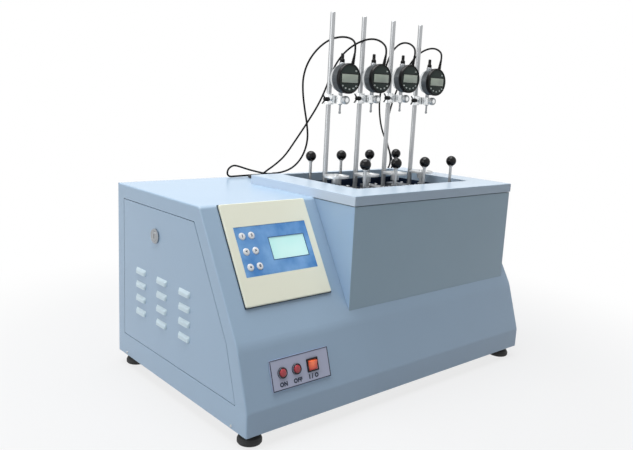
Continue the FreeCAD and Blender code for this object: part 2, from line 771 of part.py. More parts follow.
def bent_wire(points, radius):
    """A path of straight runs joined by tangent arcs; radius gives each corner's arc, or None for the largest."""
    edges = []
    radii = []
    start = points[0]
    for before, corner, after in zip(points, points[1:], points[2:]):
        arriving = (corner - before).normalize()
        leaving = (after - corner).normalize()
        half_turn = arriving.getAngle(leaving) / 2
        if half_turn < 0.001:
            continue
        run = min((corner - before).Length, (after - corner).Length)
        bend = radius if radius else 0.45 * run / math.tan(half_turn)
        back_off = bend * math.tan(half_turn)
        arc_start = corner - arriving * back_off
        arc_end = corner + leaving * back_off
        inward = (leaving - arriving).normalize()
        centre = corner + inward * (bend / math.cos(half_turn))
        arc_middle = centre - inward * bend
        edges.append(Part.LineSegment(start, arc_start).toShape())
        edges.append(Part.Arc(arc_start, arc_middle, arc_end).toShape())
        radii.append(bend)
        start = arc_end
    edges.append(Part.LineSegment(start, points[-1]).toShape())
    return Part.Wire(edges), radii


def tube(name, points, tube_radius, bend=None):
    """A round bar or cable swept along a bent path, with its volume held against section times length."""
    path, radii = bent_wire(points, bend)
    ring = Part.Wire([Part.Circle(points[0], points[1] - points[0], tube_radius).toShape()])
    piece = doc.addObject("Part::Feature", name)
    piece.Shape = Part.Solid(path.makePipeShell([ring], True, False))
    expected = math.pi * tube_radius ** 2 * path.Length
    share = abs(piece.Shape.Volume) / expected
    print(f"{name}: length {path.Length:.0f}, volume share {share:.4f}, radii",
          " ".join(f"{radius:.0f}" for radius in radii))
    piece.Placement = FreeCAD.Placement()
    return piece


def make_heater():
    """Tubular heater: one bent element that enters and leaves through the tank's left wall."""
    z = size("foot_height") + size("cab_height") - size("tank_depth") + size("steel") + size("heater_height")
    near_y = size("well_front") + size("heater_inset")
    far_y = size("well_front") + size("well_depth") - size("heater_inset")
    left = size("well_left") - size("steel") - size("heater_tail")
    right = size("well_left") + size("well_width") - size("heater_inset")
    corners = [XYZ(left, near_y, z), XYZ(right, near_y, z), XYZ(right, far_y, z), XYZ(left, far_y, z)]
    return keep(tube("heater", corners, size("heater_radius"), size("heater_bend")), "heater")


def make_stirrer():
    """Stirrer motor hung below the tank, and its shaft with a bladed impeller inside the tank."""
    x, y = well_middle()
    floor = "foot_height + cab_height - tank_depth"
    can_top = f"{floor} - 6"
    can = cylinder("motor_can", "motor_radius", "motor_height - 6", x, y, f"{can_top} - motor_height")
    flange = block("motor_flange", "2 * motor_radius + 10", "2 * motor_radius + 10", "6", f"{x} - motor_radius - 5",
                   f"{y} - motor_radius - 5", f"{can_top} - 6")
    bore = cylinder("motor_bore", "shaft_radius + slide_gap", "30", x, y, f"{can_top} - 24")
    keep(cut_away("stirrer_motor", fused("motor_solid", [can, flange]), bore), "stirrer_motor")
    shaft = cylinder("shaft_rod", "shaft_radius", "24 + 6 + steel + impeller_height", x, y, f"{can_top} - 23")
    hub_z = f"{floor} + steel + 3"
    hub = cylinder("impeller_hub", "shaft_radius + 4", "impeller_height", x, y, hub_z)
    blades = []
    for i in range(4):
        blade = block(f"impeller_blade_{i + 1}", "impeller_radius", "2", "impeller_height - 4", x, y, f"{hub_z} + 2")
        blade.Placement = FreeCAD.Placement(XYZ(0, 0, 0), FreeCAD.Rotation(XYZ(0, 0, 1), 90 * i + 45))
        blades.append(place(blade, x, y, f"{hub_z} + 2"))
    keep(fused("stirrer_shaft", [shaft, hub] + blades), "stirrer_shaft")


def make_control_front():
    """Raised bezel on the sloping front, with the key membrane, the display window and six keys in it."""
    bezel = new_body("control_bezel")
    pad(bezel, GROUND_PLANE, "bezel_plate_block", "bezel_plate",
        [rectangle("0", "-bezel_length", "bezel_width", "0")])
    left = "membrane_left - bezel_left"
    high = "-(membrane_drop - bezel_drop)"
    blend_edges(bezel, "bezel_corners", "3", lambda e: near(middle(e).z, size("bezel_plate") / 2))
    blend_edges(bezel, "bezel_edge", "1.6", lambda e: near(middle(e).z, size("bezel_plate")))
    pocket(bezel, GROUND_PLANE, "membrane_seat", "bezel_plate",
           [rectangle(f"{left} - fit_gap", f"{high} - membrane_length - fit_gap",
                      f"{left} + membrane_width + fit_gap", f"{high} + fit_gap")],
           start="bezel_plate - membrane_recess")
    bezel.Placement = on_front(size("bezel_left"), size("bezel_drop"), 0)
    keep(bezel, "control_bezel")

    floor = size("bezel_plate") - size("membrane_recess")
    panel = new_body("membrane_panel")
    window = rectangle("display_left - membrane_left", "-(display_drop - membrane_drop) - display_length",
                       "display_left - membrane_left + display_width", "-(display_drop - membrane_drop)")
    holes = [(f"key_first_x + {column} * key_pitch_x - membrane_left",
              f"-(key_first_drop + {row} * key_pitch_drop - membrane_drop)", "key_radius + fit_gap")
             for column in range(2) for row in range(3)]
    pad(panel, GROUND_PLANE, "membrane_sheet", "membrane_steel",
        [rectangle("0", "-membrane_length", "membrane_width", "0"), window], rounds=holes)
    panel.Placement = on_front(size("membrane_left"), size("membrane_drop"), floor)
    keep(panel, "membrane_panel")

    glass = new_body("display_window")
    pad(glass, GROUND_PLANE, "display_glass", "membrane_steel - 0.5",
        [rectangle("fit_gap", "-display_length + fit_gap", "display_width - fit_gap", "-fit_gap")])
    glass.Placement = on_front(size("display_left"), size("display_drop"), floor)
    keep(glass, "display_window")

    for index in range(6):
        column, row = index % 2, index // 2
        key = turned(f"key_{index + 1}", [
            ("0", "0"), ("key_radius", "0"), ("key_radius", "key_height - 0.8"),
            ("key_radius - 1.2", "key_height"), ("0", "key_height + 0.3")])
        key.Placement = on_front(size("key_first_x") + column * size("key_pitch_x"),
                                 size("key_first_drop") + row * size("key_pitch_drop"),
                                 floor + size("key_travel") + 0.2)
        keep(key, f"key_{index + 1}")


def make_switch_plate():
    """Plate on the lower band with two raised button rings and the rocker's frame."""
    plate = new_body("switch_plate")
    up = "(button_up - switch_low)"
    pad(plate, GROUND_PLANE, "switch_sheet", "switch_steel",
        [rectangle("0", "0", "switch_width", "switch_high - switch_low")])
    rings = [(f"button_first_x + {i} * button_pitch - plate_left", up) for i in range(2)]
    pad(plate, GROUND_PLANE, "button_rings", "ring_height",
        rounds=[(x, y, "button_ring") for x, y in rings], start="switch_steel")
    frame_x = "(rocker_x - plate_left)"
    pad(plate, GROUND_PLANE, "rocker_frame", "ring_height",
        [centred(frame_x, up, "(rocker_width + 2 * rocker_wall)", "(rocker_height + 2 * rocker_wall)")],
        start="switch_steel")
    pad(plate, GROUND_PLANE, "rocker_box", "rocker_depth",
        [centred(frame_x, up, "(rocker_width + 2 * rocker_wall - 1)", "(rocker_height + 2 * rocker_wall - 1)")],
        start="-rocker_depth")
    pad(plate, GROUND_PLANE, "button_tubes", "button_depth",
        rounds=[(x, y, "button_radius") for x, y in rings], start="-button_depth")
    pocket(plate, GROUND_PLANE, "button_bores", "2 * button_depth",
           rounds=[(x, y, "button_radius - 1.2") for x, y in rings], start="2 - button_depth")
    pocket(plate, GROUND_PLANE, "rocker_well", "2 * rocker_depth",
           [centred(frame_x, up, "rocker_width", "rocker_height")], start="2 - rocker_depth")
    pad(plate, SIDE_PLANE, "rocker_pin", "rocker_width + 1", rounds=[(up, "0", "rocker_pivot - slide_gap")],
        start=f"{frame_x} - rocker_width / 2 - 0.5")
    plate.Placement = on_band(size("plate_left"), size("switch_low"), 0)
    keep(plate, "switch_plate")

    for number, x in enumerate(button_places(), start=1):
        button = turned(f"push_button_{number}", [
            ("0", "0"), ("button_radius - 1.2 - fit_gap", "0"),
            ("button_radius - 1.2 - fit_gap", "button_height + button_depth - 6"),
            ("button_radius - 2.4", "button_height + button_depth - 5"),
            ("0", "button_height + button_depth - 4.6")])
        button.Placement = on_band(x, size("button_up"), size("button_travel") + 2.3 - size("button_depth"))
        keep(button, f"push_button_{number}")

    rocker = new_body("rocker")
    half = "(rocker_height / 2 - 1.2)"
    crown = "(switch_steel + ring_height + 1.6)"
    pad(rocker, SIDE_PLANE, "rocker_block", "rocker_width - 2 * fit_gap",
        [[(f"-{half}", "-1"), ("0", "-rocker_depth / 2"), (half, "-1"), (half, crown), ("0", f"{crown} - 1.4"),
          (f"-{half}", crown)]], start="-rocker_width / 2 + fit_gap")
    pocket(rocker, SIDE_PLANE, "rocker_pivot_hole", "2 * rocker_width", rounds=[("0", "0", "rocker_pivot")],
           start="-rocker_width")
    seat = on_band(size("rocker_x"), size("button_up"), 0)
    tilt = FreeCAD.Rotation(XYZ(1, 0, 0), size("rocker_tilt"))
    rocker.Placement = FreeCAD.Placement(seat.Base, seat.Rotation.multiply(tilt))
    keep(rocker, "rocker")


def make_test_frame(number):
    """Load frame of one station: plate, base with two anvils, side rods, two ball handles and the post."""
    x = station_x(number)
    deck = "(foot_height + deck_top + fit_gap)"
    base_z = f"{deck} - base_drop"
    tag = f"_{number}"
    plate = new_body("plate" + tag)
    spans = [f"load_y + {side} * side_spread / 2" for side in (-1, 1)]
    pad(plate, GROUND_PLANE, "plate_bar" + tag, "plate_steel",
        [centred("0", "load_y", "plate_width", "plate_length")],
        rounds=[("0", "load_y", "load_rod_radius + slide_gap")])
    blend_edges(plate, "plate_corners" + tag, "5", lambda e: near(middle(e).z, size("plate_steel") / 2)
                and abs(middle(e).x) > size("plate_width") / 2 - 0.1)
    place(plate, x, "0", deck)

    base = new_body("base" + tag)
    pad(base, GROUND_PLANE, "base_bar" + tag, "base_steel", [centred("0", "load_y", "base_width", "base_length")])
    top = "base_steel + anvil_height"
    for side in (-1, 1):
        y = f"load_y + {side} * anvil_spread / 2"
        wedge = [(f"{y} - 6", "base_steel"), (f"{y} + 6", "base_steel"), (f"{y} + anvil_radius", top),
                 (f"{y} - anvil_radius", top)]
        pad(base, SIDE_PLANE, f"anvil{tag}_{side + 2}", "base_width - 4", [wedge], start="2 - base_width / 2")
    blend_edges(base, "anvil_noses" + tag, "anvil_radius - 0.2",
                lambda e: near(middle(e).z, size("base_steel") + size("anvil_height")) and near(middle(e).x, 0))
    place(base, x, "0", base_z)

    rods = [cylinder(f"side_rod{tag}_{i}", "side_rod", "base_drop - base_steel", x, y, f"{base_z} + base_steel")
            for i, y in enumerate(spans, start=1)]
    handles = []
    for i, side in enumerate((-1, 1), start=1):
        y = f"load_y + {side} * handle_spread / 2"
        handles.append(cylinder(f"handle_rod{tag}_{i}", "handle_rod",
                                f"ball_height - ball_radius + 1 - ({deck} + plate_steel)", x, y,
                                f"{deck} + plate_steel"))
        ball = turned(f"ball{tag}_{i}", ball_profile())
        handles.append(place(ball, x, y, "ball_height"))
    post = turned("post" + tag, [
        ("0", "0"), ("post_radius", "0"), ("post_radius", f"post_top - {deck} - plate_steel - 1"),
        ("post_radius - 1", f"post_top - {deck} - plate_steel"), ("0", f"post_top - {deck} - plate_steel")])
    place(post, x, "load_y + post_offset", f"{deck} + plate_steel")
    return keep(grouped(f"test_frame_{number}", [plate, base] + rods + handles + [post]), f"test_frame_{number}")


def ball_profile():
    """Half outline of a ball knob with a flat, bored underside, in steps of fifteen degrees."""
    outline = [("0", "-ball_radius + 1"), ("handle_rod + 2", "-ball_radius + 1")]
    for step in range(5, 12):
        angle = 15 * step - 90
        outline.append((f"ball_radius * cos({angle} deg)", f"ball_radius * sin({angle} deg)"))
    outline.insert(2, ("ball_radius * cos(-45 deg)", "ball_radius * sin(-45 deg)"))
    outline.insert(3, ("ball_radius * cos(-30 deg)", "ball_radius * sin(-30 deg)"))
    outline.append(("0", "ball_radius"))
    return outline


def make_load_rod(number):
    """Load rod through the frame's plate: tray, boss, stop collar, rod and the nose over the specimen."""
    plate_z = "(foot_height + deck_top + plate_steel + 2 * fit_gap)"
    nose = "(foot_height + deck_top - base_drop + base_steel + anvil_height + nose_gap)"
    rod = turned(f"load_rod_{number}", [
        ("0", nose), ("2", nose), ("load_rod_radius", f"{nose} + 6"), ("load_rod_radius", plate_z),
        ("collar_radius", plate_z), ("collar_radius", f"{plate_z} + 10"),
        ("load_rod_radius", f"{plate_z} + 10"), ("load_rod_radius", "tray_top - tray_steel - boss_height"),
        ("boss_radius", "tray_top - tray_steel - boss_height"), ("boss_radius", "tray_top - tray_steel"),
        ("tray_radius", "tray_top - tray_steel"), ("tray_radius", "tray_top"),
        ("tray_radius - 1.5", "tray_top"), ("tray_radius - 1.5", "tray_top - 1.5"),
        ("5", "tray_top - 1.5"), ("5", "tray_top + 3"), ("0", "tray_top + 3")])
    place(rod, station_x(number), "load_y")
    return keep(rod, f"load_rod_{number}")


def make_indicator(number, rise):
    """Digital indicator: bezel and case, silver back, stem, top collar and the cable's strain relief."""
    tag = f"_{number}"
    case = turned("case" + tag, [
        ("0", "0"), ("bezel_radius - 3.5", "0"), ("bezel_radius - 3", "-1"), ("bezel_radius - 1", "-1"),
        ("bezel_radius", "0.4"), ("bezel_radius", "bezel_depth"), ("case_radius", "bezel_depth"),
        ("case_radius", "case_depth"), ("back_radius", "case_depth + 2"), ("back_radius", "back_depth - 1.5"),
        ("back_radius - 1.5", "back_depth"), ("0", "back_depth")])
    case.Placement = FreeCAD.Placement(XYZ(0, 0, 0), FreeCAD.Rotation(XYZ(1, 0, 0), -90))
    place(case, "0", "-gauge_front", "0")
    stem = cylinder("stem" + tag, "stem_radius", "stem_end - back_radius + 3", z="-stem_end")
    collar = cylinder("collar" + tag, "top_collar_radius", "collar_top - back_radius + 3", z="back_radius - 3")
    boot = doc.addObject("Part::Cone", "boot" + tag)
    boot.setExpression("Radius1", bound("boot_base"))
    boot.setExpression("Radius2", bound("cable_radius + 0.6"))
    boot.setExpression("Height", bound("boot_length"))
    boot.Placement = FreeCAD.Placement(XYZ(0, 0, 0), FreeCAD.Rotation(XYZ(0, 1, 0), BOOT_LEAN))
    place(boot, "boot_x", "-gauge_front + boot_y + 8", "boot_height")
    solid = fused("indicator_solid" + tag, [case, stem, collar, boot])
    bore = cylinder("spindle_way" + tag, "spindle_bore", "stem_end + collar_top + 2", z="-stem_end - 1")
    body = cut_away("indicator_body" + tag, solid, bore)
    place(body, station_x(number), "load_y", f"gauge_height + {rise}")
    return keep(body, f"indicator_{number}")


# The strain relief leans a little to the right, as the cables leave the indicators.
BOOT_LEAN = 11.5


def boot_tip(number):
    """Where a cable leaves its strain relief, and the direction in which it does."""
    lean = math.radians(BOOT_LEAN)
    out = XYZ(math.sin(lean), 0, math.cos(lean))
    x = size("station_first") + (number - 1) * size("station_pitch") + size("boot_x")
    y = size("load_y") - size("gauge_front") + size("boot_y") + 8
    z = size("gauge_height") + GAUGE_RISE[number - 1] + size("boot_height")
    return XYZ(x, y, z) + out * size("boot_length"), out


def make_spindle(number, rise):
    """Measuring spindle through the indicator's stem, with its contact point below and its cap above."""
    spindle = turned(f"spindle_{number}", [
        ("0", "-tip_end"), ("1.2", "-tip_end"), ("2.6", "-tip_end + 1.5"), ("2.6", "-stem_end - 14"),
        ("spindle_radius", "-stem_end - 13.4"), ("spindle_radius", "collar_top + 0.5"),
        ("cap_radius + 1.6", "collar_top + 0.5"), ("cap_radius + 1.6", "collar_top + 5"),
        ("cap_radius", "collar_top + 7.5"), ("cap_radius", "cap_top - 1"), ("cap_radius - 1", "cap_top"),
        ("0", "cap_top")])
    place(spindle, station_x(number), "load_y", f"gauge_height + {rise}")
    return keep(spindle, f"spindle_{number}")


def make_clamp(number, rise):
    """Indicator clamp: boss round the stem, arm, and a split sleeve with two ears on the post; thumb knob."""
    tag = f"_{number}"
    x = station_x(number)
    z = f"gauge_height + {rise} - clamp_drop"
    body = new_body("clamp_block" + tag)
    low = "-clamp_height / 2"
    pad(body, GROUND_PLANE, "sleeve" + tag, "sleeve_height", rounds=[("0", "post_offset", "sleeve_radius")],
        start="-sleeve_height / 2")
    pad(body, GROUND_PLANE, "ears" + tag, "clamp_height",
        [rectangle("-7.5", "post_offset - ear_length", "7.5", "post_offset")], start=low)
    pad(body, GROUND_PLANE, "arm" + tag, "clamp_height", [rectangle("ear_gap / 2", "0", "7.5", "post_offset - 8")],
        start=low)
    pad(body, GROUND_PLANE, "stem_boss" + tag, "clamp_height", rounds=[("0", "0", "clamp_boss")], start=low)
    pocket(body, GROUND_PLANE, "slit" + tag, "2 * sleeve_height",
           [rectangle("-ear_gap / 2", "clamp_boss + 1", "ear_gap / 2", "post_offset")], start="-sleeve_height")
    pocket(body, GROUND_PLANE, "bores" + tag, "2 * sleeve_height",
           rounds=[("0", "0", "stem_radius + 0.02"), ("0", "post_offset", "post_radius + slide_gap")],
           start="-sleeve_height")
    pocket(body, SIDE_PLANE, "screw_way" + tag, "20", start="-12",
           rounds=[("post_offset - ear_length + 5", "0", "wing_screw_radius + slide_gap")])
    place(body, x, "load_y", z)
    knob = turned("thumb" + tag, [
        ("0", "0"), ("2.5", "0"), ("2.5", "thumb_neck"), ("thumb_radius - 1", "thumb_neck"),
        ("thumb_radius", "thumb_neck + 1"), ("thumb_radius", "thumb_neck + thumb_depth - 1"),
        ("thumb_radius - 1", "thumb_neck + thumb_depth"), ("0", "thumb_neck + thumb_depth")])
    knob.Placement = FreeCAD.Placement(XYZ(0, 0, 0), FreeCAD.Rotation(XYZ(1, 0, 0), 90))
    place(knob, x, "load_y - clamp_boss", z)
    return keep(grouped(f"clamp_{number}", [body, knob]), f"clamp_{number}")


def make_wing_screw(number, rise):
    """Wing screw that pinches the sleeve's ears: stem, hub and two raked wings, along X."""
    tag = f"_{number}"
    body = new_body(f"wing_body{tag}")
    pad(body, SIDE_PLANE, "screw_stem" + tag, "wing_reach + 5", rounds=[("0", "0", "wing_screw_radius")],
        start="-wing_reach")
    pad(body, SIDE_PLANE, "screw_hub" + tag, "wing_reach - 15", rounds=[("0", "0", "wing_screw_radius + 1.5")],
        start="3 - wing_reach")
    wings = [
        ("-wing_reach + 8", "0"), ("-wing_reach - 5", "wing_span / 2"), ("-wing_reach - 1", "wing_span / 2 + 1"),
        ("-wing_reach + 12", "2"), ("-wing_reach + 12", "-2"), ("-wing_reach - 1", "-wing_span / 2 - 1"),
        ("-wing_reach - 5", "-wing_span / 2"),
    ]
    pad(body, FRONT_PLANE, "wings" + tag, "wing_steel", [wings], start="-wing_steel / 2")
    place(body, station_x(number), "load_y + post_offset - ear_length + 5", f"gauge_height + {rise} - clamp_drop")
    return keep(body, f"wing_screw_{number}")


# The way in which each cable's gland faces, behind the bath, in degrees round the vertical.
GLAND_FACING = (180, 295, 270, 270)


def gland_mouth(number):
    """The gland's mouth and the direction in which its cable goes in."""
    x = size("bath_left") + size(f"gland_side_{number}")
    y = size("cab_depth") / 2 - size(f"gland_back_{number}")
    z = size("foot_height") + size("cab_height") + size("gland_axis")
    heading = math.radians(GLAND_FACING[number - 1])
    return XYZ(x, y, z), XYZ(-math.cos(heading), -math.sin(heading), 0)


def make_glands():
    """Low angled glands on the cabinet's top, behind the bath."""
    glands = []
    for number in STATIONS:
        mouth, inward = gland_mouth(number)
        nozzle = doc.addObject("Part::Cylinder", f"gland_nozzle_{number}")
        nozzle.setExpression("Radius", bound("gland_radius"))
        nozzle.setExpression("Height", bound("gland_length"))
        nozzle.Placement = FreeCAD.Placement(mouth, FreeCAD.Rotation(XYZ(0, 0, 1), inward))
        seat = doc.addObject("Part::Cylinder", f"gland_seat_{number}")
        seat.setExpression("Radius", bound("gland_radius + 2"))
        seat.setExpression("Height", bound("gland_axis"))
        seat.Placement = FreeCAD.Placement(mouth + inward * (size("gland_length") / 2) - XYZ(0, 0, size("gland_axis")),
                                           FreeCAD.Rotation())
        glands.append(fused(f"gland_{number}", [nozzle, seat]))
    return keep(grouped("cable_glands", glands), "cable_glands")


# Each cable's free route between its strain relief and its gland, chosen by hand, in millimetres.
CABLE_ROUTES = {
    1: [(6, -30, 668), (8, -6, 677), (8, 24, 678), (4, 52, 671), (-3, 78, 652), (-8, 98, 626), (-12, 106, 596),
        (-14, 102, 564), (-14, 94, 532), (-13, 84, 498), (-14, 78, 466), (-14, 90, 434), (-12, 116, 409),
        (-9, 148, 393), (-12, 180, 383), (-26, 201, 379), (-50, 206, 384), (-78, 206, 391), (-103, 206, 399),
        (-116, 207, 401), (-126, 210, 393.5), (-126.5, 214, 382), (-118, 217.5, 374.8), (-104, 218, 375),
        (-78, 218, 375.5), (-48, 218, 376), (-20, 218, 376.2)],
    2: [(92, -30, 667), (89, -10, 679), (76.5, 6.4, 679.6), (65.5, 28.4, 670.6), (58, 52, 655), (47, 66, 632),
        (37, 73, 604), (28, 79, 570), (17, 88, 537), (4, 104, 501), (-10, 124, 462), (-22, 145, 425), (-39, 159, 404),
        (-56, 168, 390), (-63.5, 176, 379)],
    3: [(181, -30, 669), (180, -14, 679), (178, 6, 680), (181, 28, 670), (186, 48, 652), (194, 66, 624),
        (203, 82, 590), (213, 97, 553), (227, 106, 516), (248, 116, 484), (274, 124, 456), (300, 134, 429),
        (317, 145, 401), (322, 160, 379.5)],
    4: [(269, -30, 666), (269, -12, 675), (269, 10, 674), (270, 34, 665), (273, 58, 648), (277, 82, 620),
        (281, 104, 588), (284, 122, 552), (288, 136, 516), (294, 146, 482), (305, 151, 450), (323, 152, 420),
        (338, 157, 396), (345, 168, 379)],
}


def make_cable(number):
    """One indicator's cable: a tube of straight runs and tangent arcs from its strain relief to its gland."""
    tip, outward = boot_tip(number)
    mouth, inward = gland_mouth(number)
    gap, lead = size("slide_gap"), size("cable_lead")
    points = [tip + outward * gap, tip + outward * lead] + [XYZ(*point) for point in CABLE_ROUTES[number]]
    points += [mouth - inward * lead, mouth - inward * gap]
    return keep(tube(f"cable_{number}", points, size("cable_radius")), f"cable_{number}")


def check_and_write():
    """Test every object and every sub-part's shape, then write the sub-parts."""
    doc.recompute()
    failed = [item.Name for item in doc.Objects if "Invalid" in item.State or "Error" in item.State]
    if failed:
        raise RuntimeError("failed objects: " + ", ".join(failed))
    for piece in sub_parts:
        if piece.Shape.isNull() or not piece.Shape.isValid() or not piece.Shape.Solids:
            raise RuntimeError("bad shape: " + piece.Label)
    os.makedirs("parts", exist_ok=True)
    for piece in sub_parts:
        piece.Shape.exportStep(f"parts/{piece.Label}.step")
    print(len(sub_parts), "sub-parts written")


make_cabinet_shell()
make_base_pan()
for foot_number, (foot_x, foot_y) in enumerate(foot_places(), start=1):
    make_foot(foot_number, foot_x, foot_y)
make_rear_panel()
make_mains_inlet()
make_access_panel()
make_panel_lock()
make_bath_housing()
make_bath_rim()
make_oil_tank()
make_bath_deck()
make_probe()
make_heater()
make_stirrer()
make_control_front()
make_switch_plate()
for station in STATIONS:
    station_rise = GAUGE_RISE[station - 1]
    make_test_frame(station)
    make_load_rod(station)
    make_indicator(station, station_rise)
    make_spindle(station, station_rise)
    make_clamp(station, station_rise)
    make_wing_screw(station, station_rise)
make_glands()
for station in STATIONS:
    make_cable(station)
check_and_write()
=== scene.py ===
import json
import math

import bmesh
import bpy
from mathutils import Matrix, Vector

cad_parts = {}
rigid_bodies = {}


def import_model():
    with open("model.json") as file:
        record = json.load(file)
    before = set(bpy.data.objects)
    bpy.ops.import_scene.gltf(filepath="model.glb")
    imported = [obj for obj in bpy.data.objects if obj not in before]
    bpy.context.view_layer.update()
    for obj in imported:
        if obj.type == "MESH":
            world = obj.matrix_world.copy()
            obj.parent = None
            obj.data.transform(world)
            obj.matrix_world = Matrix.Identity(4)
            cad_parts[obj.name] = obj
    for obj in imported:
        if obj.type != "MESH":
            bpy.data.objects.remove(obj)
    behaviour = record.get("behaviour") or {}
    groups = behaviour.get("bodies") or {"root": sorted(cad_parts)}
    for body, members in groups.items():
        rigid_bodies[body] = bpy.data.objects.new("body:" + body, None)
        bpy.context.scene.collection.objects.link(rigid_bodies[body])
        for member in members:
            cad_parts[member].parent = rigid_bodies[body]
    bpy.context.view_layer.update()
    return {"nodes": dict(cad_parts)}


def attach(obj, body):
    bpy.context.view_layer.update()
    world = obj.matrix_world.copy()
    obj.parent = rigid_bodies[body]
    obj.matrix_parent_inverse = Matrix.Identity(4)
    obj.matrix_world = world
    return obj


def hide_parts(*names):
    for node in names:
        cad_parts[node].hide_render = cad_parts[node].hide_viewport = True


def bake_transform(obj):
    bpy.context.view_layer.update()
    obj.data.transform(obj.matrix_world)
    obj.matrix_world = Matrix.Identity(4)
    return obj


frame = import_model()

# The photograph's view and a plain studio. The camera stands a little over a metre off the cabinet's front
# left corner, slightly above its top and rolled by three degrees. A broad lamp hangs overhead and one
# stands at the left.
MM = 0.001
VIEW_AZIMUTH, VIEW_ELEVATION, VIEW_ROLL = (math.radians(angle) for angle in (40.92, 10.96, 2.80))


def linear(code):
    """An sRGB hex colour as linear red, green, blue and alpha."""
    channels = [int(code[i:i + 2], 16) / 255 for i in (1, 3, 5)]
    return tuple(c / 12.92 if c <= 0.04045 else ((c + 0.055) / 1.055) ** 2.4 for c in channels) + (1.0,)


def add(tree, kind, inputs, **settings):
    """Add a shader node; an input is a value, or another node's output to link to it."""
    node = tree.nodes.new("ShaderNode" + kind)
    for name, value in settings.items():
        setattr(node, name, value)
    for name, value in inputs.items():
        if isinstance(value, bpy.types.NodeSocket):
            tree.links.new(value, node.inputs[name])
        else:
            node.inputs[name].default_value = value
    return node


def noise(tree, here, scale, detail=2.0):
    """A noise pattern on the object's own coordinates."""
    return add(tree, "TexNoise", {"Vector": here.outputs["Object"], "Scale": scale, "Detail": detail})


def spread(tree, pattern, low, high):
    """A pattern's values spread between two limits."""
    return add(tree, "MapRange", {"Value": pattern, "To Min": low, "To Max": high})


def finish_of(name, code, roughness, **sockets):
    """A new material with its shader set: its node tree and shader come back with it."""
    finish = bpy.data.materials.new(name)
    finish.use_nodes = True
    shader = finish.node_tree.nodes["Principled BSDF"]
    shader.inputs["Base Color"].default_value = linear(code)
    shader.inputs["Roughness"].default_value = roughness
    for socket, value in sockets.items():
        shader.inputs[socket.replace("_", " ")].default_value = value
    return finish, finish.node_tree, shader


forward = Vector((math.sin(VIEW_AZIMUTH) * math.cos(VIEW_ELEVATION),
                  math.cos(VIEW_AZIMUTH) * math.cos(VIEW_ELEVATION), -math.sin(VIEW_ELEVATION)))
level_right = Vector((math.cos(VIEW_AZIMUTH), -math.sin(VIEW_AZIMUTH), 0))
level_up = level_right.cross(forward)
right = level_right * math.cos(VIEW_ROLL) + level_up * math.sin(VIEW_ROLL)
up = level_up * math.cos(VIEW_ROLL) - level_right * math.sin(VIEW_ROLL)
lens = bpy.data.cameras.new("photo_camera")
lens.lens = 38.83
lens.sensor_width = 36
camera = bpy.data.objects.new("photo_camera", lens)
camera.matrix_world = Matrix((
    (right.x, up.x, -forward.x, -947.7 * MM), (right.y, up.y, -forward.y, -1040.5 * MM),
    (right.z, up.z, -forward.z, 565.3 * MM), (0, 0, 0, 1)))
bpy.context.scene.collection.objects.link(camera)
bpy.context.scene.camera = camera
bpy.context.scene.view_settings.view_transform = "Standard"

world = bpy.data.worlds.new("studio")
world.use_nodes = True
bpy.context.scene.world = world
sky = world.node_tree
sky.nodes.clear()
seen = add(sky, "LightPath", {})
straight = add(sky, "Math", {0: seen.outputs["Is Camera Ray"], 1: seen.outputs["Is Glossy Ray"]},
               operation="MAXIMUM")
clear_view = add(sky, "Math", {0: straight.outputs[0], 1: seen.outputs["Is Transmission Ray"]},
                 operation="MAXIMUM")
fill = add(sky, "Background", {"Color": linear("#E9F0FA"), "Strength": 0.05})
white = add(sky, "Background", {"Color": (1, 1, 1, 1), "Strength": 1.0})
choice = add(sky, "MixShader", {0: clear_view.outputs[0], 1: fill.outputs[0], 2: white.outputs[0]})
add(sky, "OutputWorld", {"Surface": choice.outputs[0]})


def lamp(name, place, target, size, power):
    """A square area lamp that looks at a point."""
    light = bpy.data.lights.new(name, "AREA")
    light.size = size
    light.energy = power
    item = bpy.data.objects.new(name, light)
    item.location = place
    item.rotation_euler = (Vector(target) - Vector(place)).to_track_quat("-Z", "Y").to_euler()
    bpy.context.scene.collection.objects.link(item)


lamp("overhead_lamp", (-0.3, 0.2, 2.9), (0, 0, 0.3), 2.4, 104)
lamp("left_lamp", (-3.2, 0.3, 1.3), (0, 0, 0.3), 2.2, 34)
lamp("front_lamp", (0.6, -3.2, 1.5), (0, 0, 0.3), 1.6, 3)

bpy.ops.object.select_all(action="DESELECT")
bpy.ops.mesh.primitive_plane_add(size=14, location=(0, 0, 0))
floor = bpy.context.object
floor.name = "studio_floor"
PAPER_GREY = "#BDC0C4"
floor_paper, floor_tree, floor_shader = finish_of("studio_paper", PAPER_GREY, 0.9)
paper_here = add(floor_tree, "TexCoord", {})
paper_grain = noise(floor_tree, paper_here, 3.0)
paper_tone = spread(floor_tree, paper_grain.outputs["Fac"], 0.985, 1.0)
paper_colour = add(floor_tree, "MixRGB", {"Fac": 1.0, "Color1": linear(PAPER_GREY),
                                          "Color2": paper_tone.outputs[0]},
                   blend_type="MULTIPLY")
floor_tree.links.new(paper_colour.outputs[0], floor_shader.inputs["Base Color"])
paper_far = add(floor_tree, "VectorMath", {0: paper_here.outputs["Object"]}, operation="LENGTH")
paper_fade = add(floor_tree, "MapRange", {"Value": paper_far.outputs["Value"], "From Min": 0.50,
                                          "From Max": 1.1,
                                          "To Min": 0.78, "To Max": 1.0}, interpolation_type="SMOOTHSTEP")
paper_seen = add(floor_tree, "LightPath", {})
paper_eye = add(floor_tree, "Math", {0: paper_seen.outputs["Is Camera Ray"],
                                     1: paper_seen.outputs["Is Glossy Ray"]},
                operation="MAXIMUM")
paper_all = add(floor_tree, "Math", {0: paper_eye.outputs[0], 1: paper_seen.outputs["Is Transmission Ray"]},
                operation="MAXIMUM")
paper_white = add(floor_tree, "Math", {0: paper_fade.outputs[0], 1: paper_all.outputs[0]},
                  operation="MULTIPLY")
